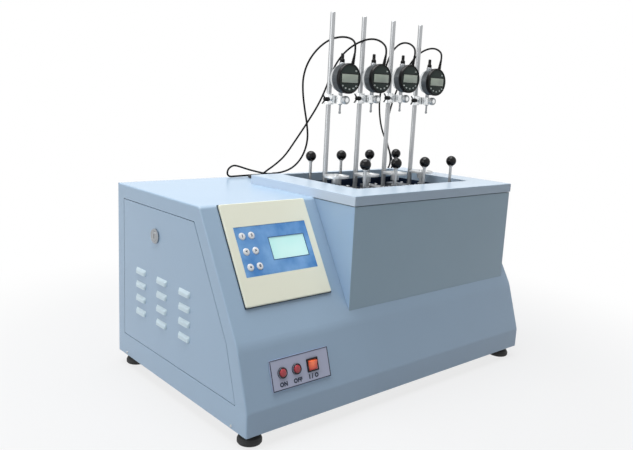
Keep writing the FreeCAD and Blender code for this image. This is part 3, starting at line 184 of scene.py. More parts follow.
paper_glow = add(floor_tree, "Emission", {"Color": (1, 1, 1, 1), "Strength": 1.0})
paper_mix = add(floor_tree, "MixShader", {0: paper_white.outputs[0], 1: floor_shader.outputs[0],
                                          2: paper_glow.outputs[0]})
floor_tree.links.new(paper_mix.outputs[0], floor_tree.nodes["Material Output"].inputs["Surface"])
floor.data.materials.append(floor_paper)

# Indicator cables: four limp PVC data cables, 4 mm thick, that arch back from the indicators' strain
# reliefs and go into low glands behind the bath. Each is drawn in two lengths, split at a given turning
# point.
CABLE_THICK = 4.0
CABLES = {
    1: ((3.39, -33, 643.07), (1.95, 218, 376.2), (-12, 106, 596),
        [(4.58, -33, 648.9), (6, -30, 668), (8, -6, 677), (8, 24, 678), (4, 52, 671), (-3, 78, 652),
         (-8, 98, 626), (-12, 106, 596),
         (-14, 102, 564), (-14, 94, 532), (-13, 84, 498), (-14, 78, 466), (-14, 90, 434), (-12, 116, 409),
         (-9, 148, 393), (-12, 180, 383), (-26, 201, 379), (-50, 206, 384), (-78, 206, 391), (-103, 206, 399),
         (-116, 207, 401), (-126, 210, 393.5), (-126.5, 214, 382), (-118, 217.5, 374.8), (-104, 218, 375),
         (-78, 218, 375.5), (-48, 218, 376), (-20, 218, 376.2), (-4, 218, 376.2)]),
    2: ((91.19, -33, 647.27), (-69.98, 189.95, 376.2), (37, 73, 604),
        [(92.38, -33, 653.1), (92, -30, 667), (89, -10, 679), (76.5, 6.4, 679.6), (65.5, 28.4, 670.6),
         (58, 52, 655), (47, 66, 632), (37, 73, 604),
         (28, 79, 570), (17, 88, 537), (4, 104, 501), (-10, 124, 462), (-22, 145, 425), (-39, 159, 404),
         (-56, 168, 390), (-63.5, 176, 379), (-67.46, 184.56, 376.2)]),
    3: ((178.99, -33, 650.97), (322, 175.95, 376.2), (203, 82, 590),
        [(180.18, -33, 656.8), (181, -30, 669), (180, -14, 679), (178, 6, 680), (181, 28, 670),
         (186, 48, 652), (194, 66, 624),
         (203, 82, 590), (213, 97, 553), (227, 106, 516), (248, 116, 484), (274, 124, 456), (300, 134, 429),
         (317, 145, 401), (322, 160, 379.5), (322, 170, 376.2)]),
    4: ((266.79, -33, 648.07), (345, 183.95, 376.2), (281, 104, 588),
        [(267.98, -33, 653.9), (269, -30, 666), (269, -12, 675), (269, 10, 674), (270, 34, 665),
         (273, 58, 648), (277, 82, 620),
         (281, 104, 588), (284, 122, 552), (288, 136, 516), (294, 146, 482), (305, 151, 450), (323, 152, 420),
         (338, 157, 396), (345, 168, 379), (345, 178, 376.2)]),
}


def spline_line(name, points):
    """The line of a smooth curve through control points in millimetres, as the curve itself draws it."""
    curve = bpy.data.curves.new(name, "CURVE")
    curve.dimensions = "3D"
    curve.resolution_u = 10
    spline = curve.splines.new("NURBS")
    spline.points.add(len(points) - 1)
    for knot, point in zip(spline.points, points):
        knot.co = (point[0] * MM, point[1] * MM, point[2] * MM, 1)
    spline.order_u = 3
    spline.use_endpoint_u = True
    item = bpy.data.objects.new(name, curve)
    bpy.context.scene.collection.objects.link(item)
    bpy.context.view_layer.update()
    traced = bpy.data.meshes.new_from_object(item)
    line = [vertex.co.copy() for vertex in traced.vertices]
    bpy.data.objects.remove(item)
    bpy.data.meshes.remove(traced)
    return line


def rings_along(line, radius, sides=12):
    """A ring of points square to the line at each of its points, without twist."""
    rings = []
    side = (line[1] - line[0]).orthogonal().normalized()
    for i, point in enumerate(line):
        along = (line[min(i + 1, len(line) - 1)] - line[max(i - 1, 0)]).normalized()
        side = (side - along * side.dot(along)).normalized()
        across = along.cross(side)
        rings.append([point + (side * math.cos(t) + across * math.sin(t)) * radius
                      for t in (2 * math.pi * k / sides for k in range(sides))])
    return rings


def skin(name, rings):
    """A closed tube over rings of points."""
    sides = len(rings[0])
    mesh = bpy.data.meshes.new(name)
    faces = [[i * sides + k, i * sides + (k + 1) % sides, (i + 1) * sides + (k + 1) % sides,
              (i + 1) * sides + k]
             for i in range(len(rings) - 1) for k in range(sides)]
    faces += [list(reversed(range(sides))), [(len(rings) - 1) * sides + k for k in range(sides)]]
    mesh.from_pydata([point for ring in rings for point in ring], [], faces)
    for face in mesh.polygons:
        face.use_smooth = len(face.vertices) == 4
    mesh.update()
    piece = bpy.data.objects.new(name, mesh)
    bpy.context.scene.collection.objects.link(piece)
    return piece


# Extruded PVC jacket: black, slightly waxy, with a faint unevenness every few millimetres.
cable_pvc, cable_tree, cable_shader = finish_of("cable_pvc_black", "#040405", 0.6, Specular_IOR_Level=0.15)
jacket = add(cable_tree, "TexCoord", {})
jacket_waves = noise(cable_tree, jacket, 260.0)
jacket_relief = add(cable_tree, "Bump", {"Height": jacket_waves.outputs["Fac"], "Strength": 0.12,
                                         "Distance": 0.0003})
cable_tree.links.new(jacket_relief.outputs["Normal"], cable_shader.inputs["Normal"])
jacket_tone = spread(cable_tree, jacket_waves.outputs["Fac"], 0.48, 0.62)
cable_tree.links.new(jacket_tone.outputs[0], cable_shader.inputs["Roughness"])

for number, (leaves, enters, turning, between) in CABLES.items():
    line = spline_line(f"cable_{number}_line", [leaves] + between + [enters])
    turn_point = Vector(turning) * MM
    split = min(range(len(line)), key=lambda i: (line[i] - turn_point).length)
    rings = rings_along(line, CABLE_THICK / 2 * MM)
    spans = (("upper", line[:split + 1], rings[:split + 1]), ("lower", line[split:], rings[split:]))
    for part, path, tube_rings in spans:
        cable = skin(f"cable_{number}_{part}", tube_rings)
        cable.data.materials.append(cable_pvc)
        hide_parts(f"cable_{number}")
    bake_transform(bpy.data.objects[f"cable_{number}_upper"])
    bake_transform(bpy.data.objects[f"cable_{number}_lower"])

# Cabinet shell and back: 1.5 mm steel sheet, folded with soft creases across the front and powder-coated in a
# pale blue-grey. The coat has the fine orange peel of baked powder and a soft sheen.
def clear():
    bpy.ops.object.select_all(action="DESELECT")


def powder_coat(name, code, roughness=0.42, lit_side_code=None, lit_side_edge=0.0):
    """Baked powder coat on steel. Its peel is drawn at about 5 mm, coarser than the real 1 mm, so that it
    shows. A face turned to the left, up to an edge, can be drawn in a paler colour: painted light for the lit
    side."""
    coat, tree, shader = finish_of(name, code, roughness, Coat_Weight=0.5, Coat_Roughness=0.22)
    here = add(tree, "TexCoord", {})
    peel = noise(tree, here, 210.0, 3.0)
    broad = noise(tree, here, 5.0, 3.0)
    tone = spread(tree, broad.outputs["Fac"], 0.955, 1.03)
    tinted = add(tree, "MixRGB", {"Fac": 1.0, "Color1": linear(code), "Color2": tone.outputs[0]},
                 blend_type="MULTIPLY")
    # The paler colour on the left face is painted light: the lit side drawn lighter.
    if lit_side_code:
        place = add(tree, "SeparateXYZ", {"Vector": here.outputs["Object"]})
        beyond = add(tree, "MapRange", {"Value": place.outputs["X"], "From Min": lit_side_edge + 0.1 * MM,
                                        "From Max": lit_side_edge + 0.5 * MM})
        shade = add(tree, "MixRGB", {"Fac": beyond.outputs[0], "Color1": linear(lit_side_code),
                                     "Color2": linear(code)})
        tree.links.new(shade.outputs[0], tinted.inputs["Color1"])
    tree.links.new(tinted.outputs[0], shader.inputs["Base Color"])
    sheen = spread(tree, peel.outputs["Fac"], roughness - 0.05, roughness + 0.07)
    tree.links.new(sheen.outputs[0], shader.inputs["Roughness"])
    relief = add(tree, "Bump", {"Height": peel.outputs["Fac"], "Strength": 0.10, "Distance": 0.0004})
    tree.links.new(relief.outputs["Normal"], shader.inputs["Normal"])
    return coat


def dress(node, finish):
    """Give a CAD node its finish."""
    item = frame["nodes"][node]
    item.data.materials.clear()
    item.data.materials.append(finish)


cabinet_coat = powder_coat("cabinet_powder_coat", "#A0BAD2")
dress("cabinet_shell", cabinet_coat)
dress("rear_panel", cabinet_coat)


def block(name, low, high, bevel=0.0, segments=2):
    """A box between two corners in millimetres, with its edges rounded."""
    clear()
    middle = [(a + b) / 2 * MM for a, b in zip(low, high)]
    bpy.ops.mesh.primitive_cube_add(size=1, location=middle)
    piece = bpy.context.object
    piece.name = piece.data.name = name
    bpy.ops.object.mode_set(mode="EDIT")
    bpy.ops.transform.resize(value=[(b - a) * MM for a, b in zip(low, high)], center_override=middle)
    if bevel:
        bpy.ops.mesh.select_all(action="SELECT")
        bpy.ops.mesh.bevel(offset=bevel * MM, segments=segments)
    bpy.ops.object.mode_set(mode="OBJECT")
    bpy.ops.object.transform_apply(location=True, rotation=True, scale=True)
    return smooth(piece)


def smooth(piece, angle=40):
    """Round shading on all but the sharp edges."""
    clear()
    piece.select_set(True)
    bpy.context.view_layer.objects.active = piece
    bpy.ops.object.shade_smooth_by_angle(angle=math.radians(angle))
    return piece


def turned(name, steps, sides=48):
    """A turned piece on the Z axis: a disc pulled up through steps of (radius, height) in millimetres."""
    clear()
    radius, height = steps[0]
    bpy.ops.mesh.primitive_circle_add(vertices=sides, radius=radius * MM, fill_type="NGON")
    piece = bpy.context.object
    piece.name = piece.data.name = name
    bpy.ops.object.mode_set(mode="EDIT")
    bpy.ops.mesh.select_all(action="SELECT")
    bpy.ops.transform.translate(value=(0, 0, height * MM))
    for next_radius, next_height in steps[1:]:
        bpy.ops.mesh.extrude_region_move(TRANSFORM_OT_translate={"value": (0, 0,
                                                                           (next_height - height) * MM)})
        scale = next_radius / radius
        bpy.ops.transform.resize(value=(scale, scale, 1), center_override=(0, 0, next_height * MM))
        radius, height = next_radius, next_height
    bpy.ops.mesh.select_all(action="SELECT")
    bpy.ops.mesh.fill_holes(sides=0)
    bpy.ops.mesh.normals_make_consistent(inside=False)
    bpy.ops.object.mode_set(mode="OBJECT")
    return smooth(piece)


def joined(name, pieces):
    """Several pieces made one."""
    clear()
    for piece in pieces:
        piece.select_set(True)
    bpy.context.view_layer.objects.active = pieces[0]
    bpy.ops.object.join()
    pieces[0].name = pieces[0].data.name = name
    return pieces[0]


def copied(piece, name, place):
    """A copy with its own mesh, moved by a matrix."""
    mesh = piece.data.copy()
    mesh.name = name
    mesh.transform(place)
    twin = bpy.data.objects.new(name, mesh)
    bpy.context.scene.collection.objects.link(twin)
    return twin


def fitted(piece, body, finish, stands_for=None):
    """A finished piece: its material, the body it rides on and the CAD node that it stands for."""
    piece.data.materials.clear()
    piece.data.materials.append(finish)
    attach(piece, body)
    if stands_for:
        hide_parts(stands_for)
    return piece


def shift(x, y, z):
    return Matrix.Translation((x * MM, y * MM, z * MM))


# Zinc-plated pan screws: twelve hold the back cover and two small ones sit low on the left side. Their dished
# heads have a cross recess.
screw_zinc, screw_tree, screw_shader = finish_of("zinc_plated_steel", "#B9BCBE", 0.34, Metallic=1.0)
screw_here = add(screw_tree, "TexCoord", {})
screw_mottle = noise(screw_tree, screw_here, 900.0)
screw_sheen = spread(screw_tree, screw_mottle.outputs["Fac"], 0.26, 0.44)
screw_tree.links.new(screw_sheen.outputs[0], screw_shader.inputs["Roughness"])


def pan_screw(name, radius):
    """A pan head with a cross recess, on the Z axis."""
    head = turned(name, [(radius, 0), (radius, 0.25 * radius), (0.86 * radius, 0.5 * radius),
                         (0.5 * radius, 0.62 * radius),
                         (0.42 * radius, 0.62 * radius), (0.2 * radius, 0.3 * radius)], sides=16)
    return head


back_screw = pan_screw("back_screw", 3.4)
face_back = Matrix.Translation((0, 0.2300, 0)) @ Matrix.Rotation(-math.pi / 2, 4, "X")
back_screws = [copied(back_screw, f"back_screw_{i}", Matrix.Translation((x * MM, 0, z * MM)) @ face_back)
               for i, (x, z) in enumerate([(x, z) for x in (-355, -178, 0, 178, 355) for z in (38, 358)]
                                          + [(x, 198) for x in (-355, 355)])]
bpy.data.objects.remove(back_screw)
fitted(joined("back_screws", back_screws), "cabinet", screw_zinc)
side_screw = pan_screw("side_screw", 2.5)
face_left = shift(-370, 0, 0) @ Matrix.Rotation(-math.pi / 2, 4, "Y")
side_screws = [copied(side_screw, f"side_screw_{y}", shift(0, y, 29) @ face_left)
               for y in (-187, 193)]
bpy.data.objects.remove(side_screw)
fitted(joined("side_screws", side_screws), "cabinet", screw_zinc)

# Bottom tray: plain galvanised sheet under the cabinet, which carries the feet.
# Hot-dip zinc has a dull sheen with large pale crystals.
pan_zinc, pan_tree, pan_shader = finish_of("galvanised_sheet", "#A9ADB0", 0.45, Metallic=1.0)
pan_here = add(pan_tree, "TexCoord", {})
spangle = add(pan_tree, "TexVoronoi", {"Vector": pan_here.outputs["Object"], "Scale": 70.0})
spangle_tone = spread(pan_tree, spangle.outputs["Color"], 0.34, 0.56)
pan_tree.links.new(spangle_tone.outputs[0], pan_shader.inputs["Roughness"])
dress("base_pan", pan_zinc)

# Levelling feet: moulded black rubber glides, each on a plated stud with a hexagon that is turned by hand.
# The rubber is matte, with the fine sparkle of a spark-eroded mould.
foot_rubber, foot_tree, foot_shader = finish_of("foot_moulded_rubber", "#1A1B1C", 0.6)
foot_here = add(foot_tree, "TexCoord", {})
foot_grain = noise(foot_tree, foot_here, 700.0, 3.0)
foot_relief = add(foot_tree, "Bump", {"Height": foot_grain.outputs["Fac"], "Strength": 0.25,
                                      "Distance": 0.0003})
foot_tree.links.new(foot_relief.outputs["Normal"], foot_shader.inputs["Normal"])
foot_tone = spread(foot_tree, foot_grain.outputs["Fac"], 0.5, 0.72)
foot_tree.links.new(foot_tone.outputs[0], foot_shader.inputs["Roughness"])

glide = turned("glide", [(17.5, 0), (19.6, 0.8), (20.9, 2.6), (20.9, 7.6), (20.2, 8.6), (19.6, 9.2),
                         (19.6, 10.2),
                         (18.8, 11.6), (16.2, 13.2), (13.5, 13.9), (9.5, 14)], sides=56)
hexagon = turned("hexagon", [(9.4, 14), (10.2, 14.8), (10.2, 22.6), (9.2, 23.6)], sides=6)
smooth(hexagon, 20)
stud = turned("stud", [(4.0, 23.6), (4.0, 49.0), (3.2, 50.0)], sides=24)
for number, (x, y) in enumerate(((-344, -203), (344, -203), (-344, 203), (344, 203)), start=1):
    fitted(copied(glide, f"foot_glide_{number}", shift(x, y, 0)), f"foot_{number}", foot_rubber,
           f"foot_{number}")
    metal = joined(f"foot_stud_{number}", [copied(hexagon, "nut", shift(x, y, 0)),
                                           copied(stud, "pin", shift(x, y, 0))])
    fitted(metal, f"foot_{number}", screw_zinc)
for master in (glide, hexagon, stud):
    bpy.data.objects.remove(master)

# Side door: a tray of the same coated sheet that hinges out at its lower edge on two pins. A dark strip
# along its rear edge is painted shade for the shadowed gap there. Its twelve louvre hoods are drawn paler,
# a painted highlight where they catch the light, and its cam lock is chrome-plated, with a flat dark mark
# for the key slot that is painted shade for the keyway's hollow.
DOOR_FACE = -370 * MM
LOUVRE_FIRST = (-34, 132)
LOUVRE_PITCH = (82, 26.9)
side_door = copied(frame["nodes"]["access_panel"], "side_door", Matrix())
for vertex in side_door.data.vertices:
    if vertex.co.x < DOOR_FACE - 0.00001:
        vertex.co.x = DOOR_FACE + (vertex.co.x - DOOR_FACE) * 0.3
fitted(side_door, "door", cabinet_coat, "access_panel")
# The dark strip behind the door's rear edge is painted shade: the shadow in the gap.
shade_strip_dark, _, _ = finish_of("painted_shade_strip", "#2C3A48", 0.6, Specular_IOR_Level=0.2)
door_gap_shade_strip = block("door_gap_shade_strip", (-369.75, 204.3, 44.0), (-368.6, 205.6, 320.5))
fitted(door_gap_shade_strip, "cabinet", shade_strip_dark)

clear()
bpy.ops.mesh.primitive_cube_add(size=1)
hood = bpy.context.object
hood.name = hood.data.name = "louvre_hood"
bpy.ops.object.mode_set(mode="EDIT")
bpy.ops.transform.resize(value=(37.4 * MM, 11.4 * MM, 3.7 * MM), center_override=(0, 0, 0))
bpy.ops.transform.translate(value=(0, 0.9 * MM, 1.95 * MM))
bpy.ops.object.mode_set(mode="OBJECT")
for vertex in hood.data.vertices:
    if vertex.co.z > 2 * MM:
        vertex.co.x *= 0.86
        if vertex.co.y > 0:
            vertex.co.y -= 4.8 * MM
bpy.ops.object.mode_set(mode="EDIT")
bpy.ops.mesh.select_all(action="DESELECT")
bpy.ops.mesh.select_mode(type="EDGE")
shape = bmesh.from_edit_mesh(hood.data)
for edge in shape.edges:
    edge.select_set(any(vertex.co.z > 2 * MM for vertex in edge.verts)
                    and not all(vertex.co.y < 0 and vertex.co.z > 2 * MM for vertex in edge.verts))
bmesh.update_edit_mesh(hood.data)
bpy.ops.mesh.bevel(offset=1.1 * MM, segments=3)
bpy.ops.mesh.select_all(action="DESELECT")
bpy.ops.mesh.select_mode(type="FACE")
shape = bmesh.from_edit_mesh(hood.data)
for face in shape.faces:
    face.select_set(face.normal.y < -0.9)
bmesh.update_edit_mesh(hood.data)
bpy.ops.mesh.inset(thickness=0.6 * MM, depth=-2.5 * MM)
bpy.ops.object.mode_set(mode="OBJECT")
smooth(hood, 50)
side_face = Matrix(((0, 0, -1, DOOR_FACE), (1, 0, 0, 0), (0, 1, 0, 0), (0, 0, 0, 1)))
hoods = [copied(hood, f"louvre_{column}_{row}",
                shift(0, LOUVRE_FIRST[0] + LOUVRE_PITCH[0] * column,
                      LOUVRE_FIRST[1] + LOUVRE_PITCH[1] * row) @ side_face)
         for column in range(3) for row in range(4)]
bpy.data.objects.remove(hood)
# The hoods' paler coat is a painted highlight, where they catch the light.
louvre_highlight_coat = powder_coat("louvre_painted_highlight_coat", "#CFE3ED", 0.36)
fitted(joined("louvre_hoods", hoods), "door", louvre_highlight_coat)

lock_chrome, lock_tree, lock_shader = finish_of("lock_chrome_plate", "#9EA2A6", 0.14, Metallic=1.0)
lock_here = add(lock_tree, "TexCoord", {})
lock_haze = noise(lock_tree, lock_here, 300.0, 4.0)
lock_sheen = spread(lock_tree, lock_haze.outputs["Fac"], 0.08, 0.2)
lock_tree.links.new(lock_sheen.outputs[0], lock_shader.inputs["Roughness"])

lock_head = turned("lock_head", [(9.0, -11.9), (9.0, 0.1), (13.7, 0.1), (14.0, 0.6), (14.0, 2.2), (12.9, 3.5),
                                 (10.4, 3.7), (9.8, 3.0), (9.3, 3.0), (9.1, 3.4), (8.4, 3.5)], sides=56)
cam = block("lock_cam", (-6, -6, -13.9), (6, 52, -11.9), 0.6)
turned_left = Matrix(((0, 0, -1, 0), (0, 1, 0, 0), (1, 0, 0, 0), (0, 0, 0, 1)))
to_left = shift(-370.3, 73, 294) @ turned_left
lock_piece = joined("door_lock", [lock_head, cam])
lock_piece.data.transform(to_left)
fitted(lock_piece, "door_lock", lock_chrome, "panel_lock")
# The key slot is a flat black mark on the lock's face: painted shade for the keyway's hollow.
keyway_shade_black, _, _ = finish_of("keyway_painted_shade", "#0C0C0E", 0.5)
keyway_shade_piece = block("lock_keyway_shade", (-4.4, -0.8, 3.4), (4.4, 0.8, 3.62), 0.1)
keyway_shade_piece.data.transform(to_left)
fitted(keyway_shade_piece, "door_lock", keyway_shade_black)

# Control front: a cream moulded bezel stuck on the sloping face, and in its recess a blue printed membrane
# with domed white keys and a pale, backlit liquid crystal window. A dark strip round the bezel is painted
# shade for the shadow line at its edge.
SLOPE_FOOT = Vector((0, -198.5 * MM, 163 * MM))
SLOPE_HEAD = Vector((0, -76.5 * MM, 372 * MM))


def on_face(foot, head, across, along, lift=0.0):
    """A place on a face that rises from foot to head, in millimetres: X across, Y up it and Z outwards."""
    rise = (head - foot).normalized()
    outward = Vector((1, 0, 0)).cross(rise)
    spot = foot + rise * (along * MM) + outward * (lift * MM) + Vector((across * MM, 0, 0))
    return Matrix(((1, rise.x, outward.x, spot.x), (0, rise.y, outward.y, spot.y),
                   (0, rise.z, outward.z, spot.z),
                   (0, 0, 0, 1)))


def on_front(across, down, lift=0.0):
    slope = (SLOPE_HEAD - SLOPE_FOOT).length / MM
    return on_face(SLOPE_FOOT, SLOPE_HEAD, across, slope - down, lift)


def moulded(name, code, roughness, grain=420.0, depth=0.10, **sockets):
    """Moulded plastic, with the light texture of its mould."""
    plastic, tree, shader = finish_of(name, code, roughness, **sockets)
    here = add(tree, "TexCoord", {})
    pits = noise(tree, here, grain, 3.0)
    relief = add(tree, "Bump", {"Height": pits.outputs["Fac"], "Strength": depth, "Distance": 0.0003})
    tree.links.new(relief.outputs["Normal"], shader.inputs["Normal"])
    sheen = spread(tree, pits.outputs["Fac"], roughness * 0.85, roughness * 1.2)
    tree.links.new(sheen.outputs[0], shader.inputs["Roughness"])
    return plastic


dress("control_bezel", moulded("bezel_abs_cream", "#FBFCE8", 0.45))
membrane_film, film_tree, film_shader = finish_of("membrane_polyester_blue", "#4F86CB", 0.38)
film_here = add(film_tree, "TexCoord", {})
film_cloud = noise(film_tree, film_here, 22.0, 4.0)
film_ramp = add(film_tree, "ValToRGB", {"Fac": film_cloud.outputs["Fac"]})
film_ramp.color_ramp.elements[0].position = 0.35
film_ramp.color_ramp.elements[0].color = linear("#4D8CD0")
film_ramp.color_ramp.elements[1].position = 0.72
film_ramp.color_ramp.elements[1].color = linear("#93C5F6")
film_tree.links.new(film_ramp.outputs[0], film_shader.inputs["Base Color"])
dress("membrane_panel", membrane_film)

# The window glows faintly from its backlight, brighter towards its upper left.
window_lcd, lcd_tree, lcd_shader = finish_of("display_backlit_glass", "#BDF3EE", 0.12)
lcd_here = add(lcd_tree, "TexCoord", {})
lcd_glow = noise(lcd_tree, lcd_here, 9.0, 1.0)
lcd_ramp = add(lcd_tree, "ValToRGB", {"Fac": lcd_glow.outputs["Fac"]})
lcd_ramp.color_ramp.elements[0].position = 0.3
lcd_ramp.color_ramp.elements[0].color = linear("#A6E6E2")
lcd_ramp.color_ramp.elements[1].position = 0.7
lcd_ramp.color_ramp.elements[1].color = linear("#D2FBF6")
lcd_tree.links.new(lcd_ramp.outputs[0], lcd_shader.inputs["Base Color"])
lcd_tree.links.new(lcd_ramp.outputs[0], lcd_shader.inputs["Emission Color"])
lcd_shader.inputs["Emission Strength"].default_value = 0.22
dress("display_window", window_lcd)

window_frame = moulded("window_frame_blue", "#3A5F8E", 0.4)


def border(name, low, high, width, thick, base):
    """A thin frame round a rectangle, made from a plane that is inset and thickened."""
    clear()
    middle = ((low[0] + high[0]) / 2 * MM, (low[1] + high[1]) / 2 * MM, base * MM)
    bpy.ops.mesh.primitive_plane_add(size=1, location=middle)
    piece = bpy.context.object
    piece.name = piece.data.name = name
    bpy.ops.object.mode_set(mode="EDIT")
    bpy.ops.mesh.select_all(action="SELECT")
    bpy.ops.transform.resize(value=((high[0] - low[0]) * MM, (high[1] - low[1]) * MM, 1),
                             center_override=middle)
    bpy.ops.mesh.inset(thickness=width * MM, depth=0)
    bpy.ops.mesh.delete(type="FACE")
    bpy.ops.mesh.select_all(action="SELECT")
    bpy.ops.mesh.extrude_region_move(TRANSFORM_OT_translate={"value": (0, 0, thick * MM)})
    bpy.ops.mesh.select_all(action="SELECT")
    bpy.ops.mesh.normals_make_consistent(inside=False)
    bpy.ops.object.mode_set(mode="OBJECT")
    bpy.ops.object.transform_apply(location=True, rotation=True, scale=True)
    return piece


lcd_edge = border("display_edge", (-255.5, -109), (-176, -67), 1.3, 0.5, 0)
lcd_edge.data.transform(on_front(0, 0, 4.4))
fitted(lcd_edge, "cabinet", window_frame)
# The dark strip round the bezel's foot is painted shade: the shadow line at its edge.
bezel_shade_strip = border("bezel_shade_strip", (-336.2, -182.3), (-149.8, -0.4), 1.7, 1.6, 0)
bezel_shade_strip.data.transform(on_front(0, 0, 0))
fitted(bezel_shade_strip, "cabinet", shade_strip_dark)

key_white = moulded("key_abs_white", "#F3F5F7", 0.3, Coat_Weight=0.2)
KEY_FIRST = (-306, 60.5)
KEY_PITCH = (19, 27.5)


def key_place(index, lift):
    """Where a key stands on the front: two columns of three, counted along the rows."""
    return on_front(KEY_FIRST[0] + KEY_PITCH[0] * (index % 2), KEY_FIRST[1] + KEY_PITCH[1] * (index // 2),
                    lift)


key_cap = turned("key_cap", [(6.5, 0), (6.5, 1.9), (6.1, 2.5), (5.0, 2.85), (3.4, 3.0), (1.4, 3.05)],
                 sides=40)
for index in range(6):
    spot = key_place(index, 2.7)
    fitted(copied(key_cap, f"key_cap_{index + 1}", spot), f"key_{index + 1}", key_white,
           f"key_{index + 1}")
bpy.data.objects.remove(key_cap)
KEY_MARKS = ("1", "2", "<", ">", "+", "0")

# Switch plate: a screen-printed aluminium plate on the lower band, with two red push buttons in black rings
# and a lit mains rocker in its black frame. A navy line runs round the plate's edge.
BAND_FOOT = Vector((0, -230 * MM, 64 * MM))
BUTTONS_ACROSS = (-292.4, -262.6)
ROCKER_ACROSS = -228.5
SWITCH_UP = 50
MARK_UP = 31.0


def on_band(across, up_face, lift=0.0):
    return on_face(BAND_FOOT, SLOPE_FOOT, across, up_face, lift)


dress("switch_plate", powder_coat("switch_plate_lacquer", "#B9BED6", 0.38))
plate_line = border("plate_edge", (-315, 22.5), (-191, 73.5), 1.5, 0.35, 0)
plate_line.data.transform(on_band(0, 0, 2.4))
navy_ink = moulded("plate_navy_ink", "#1E2A44", 0.45)
fitted(plate_line, "cabinet", navy_ink)

ring_black = moulded("switch_nylon_black", "#101013", 0.38, Specular_IOR_Level=0.25)
button_red = moulded("button_abs_red", "#B3122A", 0.22, Coat_Weight=0.5, Coat_Roughness=0.08)
ring = turned("button_ring", [(9.6, 2.4), (9.6, 4.3), (8.8, 5.3), (7.5, 5.4), (7.1, 5.0), (7.05, -7.9),
                              (0.5, -7.95)], sides=48)
button = turned("button_cap", [(6.7, -5.2), (6.7, 4.6), (6.6, 5.4), (6.0, 6.2), (4.8, 6.75), (3.0, 7.05),
                               (1.0, 7.1)], sides=48)
for number, across in enumerate(BUTTONS_ACROSS, start=1):
    spot = on_band(across, SWITCH_UP)
    fitted(copied(ring, f"button_ring_{number}", spot), "cabinet", ring_black)
    fitted(copied(button, f"button_cap_{number}", spot), f"button_{number}", button_red,
           f"push_button_{number}")
bpy.data.objects.remove(ring)
bpy.data.objects.remove(button)

rocker_frame = border("rocker_frame", (-11.9, -11.4), (11.9, 11.4), 2.5, 2.9, 2.4)
clear()
rocker_frame.select_set(True)
bpy.context.view_layer.objects.active = rocker_frame
edge_round = rocker_frame.modifiers.new("edge_round", "BEVEL")
edge_round.width = 0.7 * MM
edge_round.segments = 2
bpy.ops.object.modifier_apply(modifier="edge_round")
rocker_frame.data.transform(on_band(ROCKER_ACROSS, SWITCH_UP))
fitted(rocker_frame, "cabinet", ring_black)

# The rocker is one moulding of clear red polycarbonate over a neon lamp: orange where the lamp shines
# through.
rocker_red, rocker_tree, rocker_shader = finish_of("rocker_polycarbonate_red", "#C92A1E", 0.18,
                                                   Coat_Weight=0.4)
rocker_here = add(rocker_tree, "TexCoord", {})
rocker_spot = add(rocker_tree, "Mapping", {"Vector": rocker_here.outputs["Object"],
                                           "Location": tuple(-v for v in on_band(-229.5, 54, 5).translation)})
rocker_far = add(rocker_tree, "VectorMath", {0: rocker_spot.outputs[0]}, operation="LENGTH")
rocker_near = add(rocker_tree, "MapRange", {"Value": rocker_far.outputs["Value"], "From Min": 0.0,
                                            "From Max": 0.013,
                                            "To Min": 1.0, "To Max": 0.0})
rocker_ramp = add(rocker_tree, "ValToRGB", {"Fac": rocker_near.outputs[0]})
rocker_ramp.color_ramp.elements[0].color = linear("#9C1410")
rocker_ramp.color_ramp.elements[1].color = linear("#FF7C48")
rocker_tree.links.new(rocker_ramp.outputs[0], rocker_shader.inputs["Base Color"])
rocker_tree.links.new(rocker_ramp.outputs[0], rocker_shader.inputs["Emission Color"])
rocker_shader.inputs["Emission Strength"].default_value = 0.4

clear()
bpy.ops.mesh.primitive_cube_add(size=1)
paddle = bpy.context.object
paddle.name = paddle.data.name = "rocker_paddle"
bpy.ops.object.mode_set(mode="EDIT")
bpy.ops.transform.resize(value=(18.4 * MM, 15.6 * MM, 7.6 * MM), center_override=(0, 0, 0))
bpy.ops.transform.translate(value=(0, 0, 2.8 * MM))
bpy.ops.mesh.select_all(action="SELECT")
bpy.ops.mesh.bisect(plane_co=(0, 0, 0), plane_no=(0, 1, 0))
bpy.ops.object.mode_set(mode="OBJECT")
crown = 6.6 * MM
for vertex in paddle.data.vertices:
    if abs(vertex.co.y) < 1e-5:
        vertex.co.z = 5.2 * MM if vertex.co.z > 0.002 else -5.9 * MM
    elif vertex.co.z > 0.002:
        vertex.co.z = crown
bpy.ops.object.mode_set(mode="EDIT")
bpy.ops.mesh.select_all(action="SELECT")
bpy.ops.mesh.bevel(offset=0.8 * MM, segments=3)
bpy.ops.object.mode_set(mode="OBJECT")
smooth(paddle)
paddle.data.transform(on_band(ROCKER_ACROSS, SWITCH_UP) @ Matrix.Rotation(math.radians(9), 4, "X"))
fitted(paddle, "rocker", rocker_red, "rocker")


def letters(name, words, height, place):
    """Printed lettering as a thin mesh on a face."""
    clear()
    bpy.ops.object.text_add(location=(0, 0, 0))
    text = bpy.context.object
    text.data.body = words
    text.data.align_x = "CENTER"
    text.data.align_y = "CENTER"
    text.data.size = height * MM
    text.data.extrude = 0.05 * MM
    text.data.offset = 0.07 * height * MM
    text.data.space_character = 1.12
    bpy.ops.object.convert(target="MESH")
    piece = bpy.context.object
    piece.name = piece.data.name = name
    piece.data.transform(place)
    return piece


SWITCH_MARKS = (("mark_on", "ON", BUTTONS_ACROSS[0]), ("mark_off", "OFF", BUTTONS_ACROSS[1]),
                ("mark_power", "I / O", ROCKER_ACROSS))
for name, words, across in SWITCH_MARKS:
    fitted(letters(name, words, 9.5, on_band(across, MARK_UP, 2.6)), "cabinet", navy_ink)

for index, mark in enumerate(KEY_MARKS):
    spot = key_place(index, 5.72)
    fitted(letters(f"key_mark_{index + 1}", mark, 6.5, spot), f"key_{index + 1}", navy_ink)

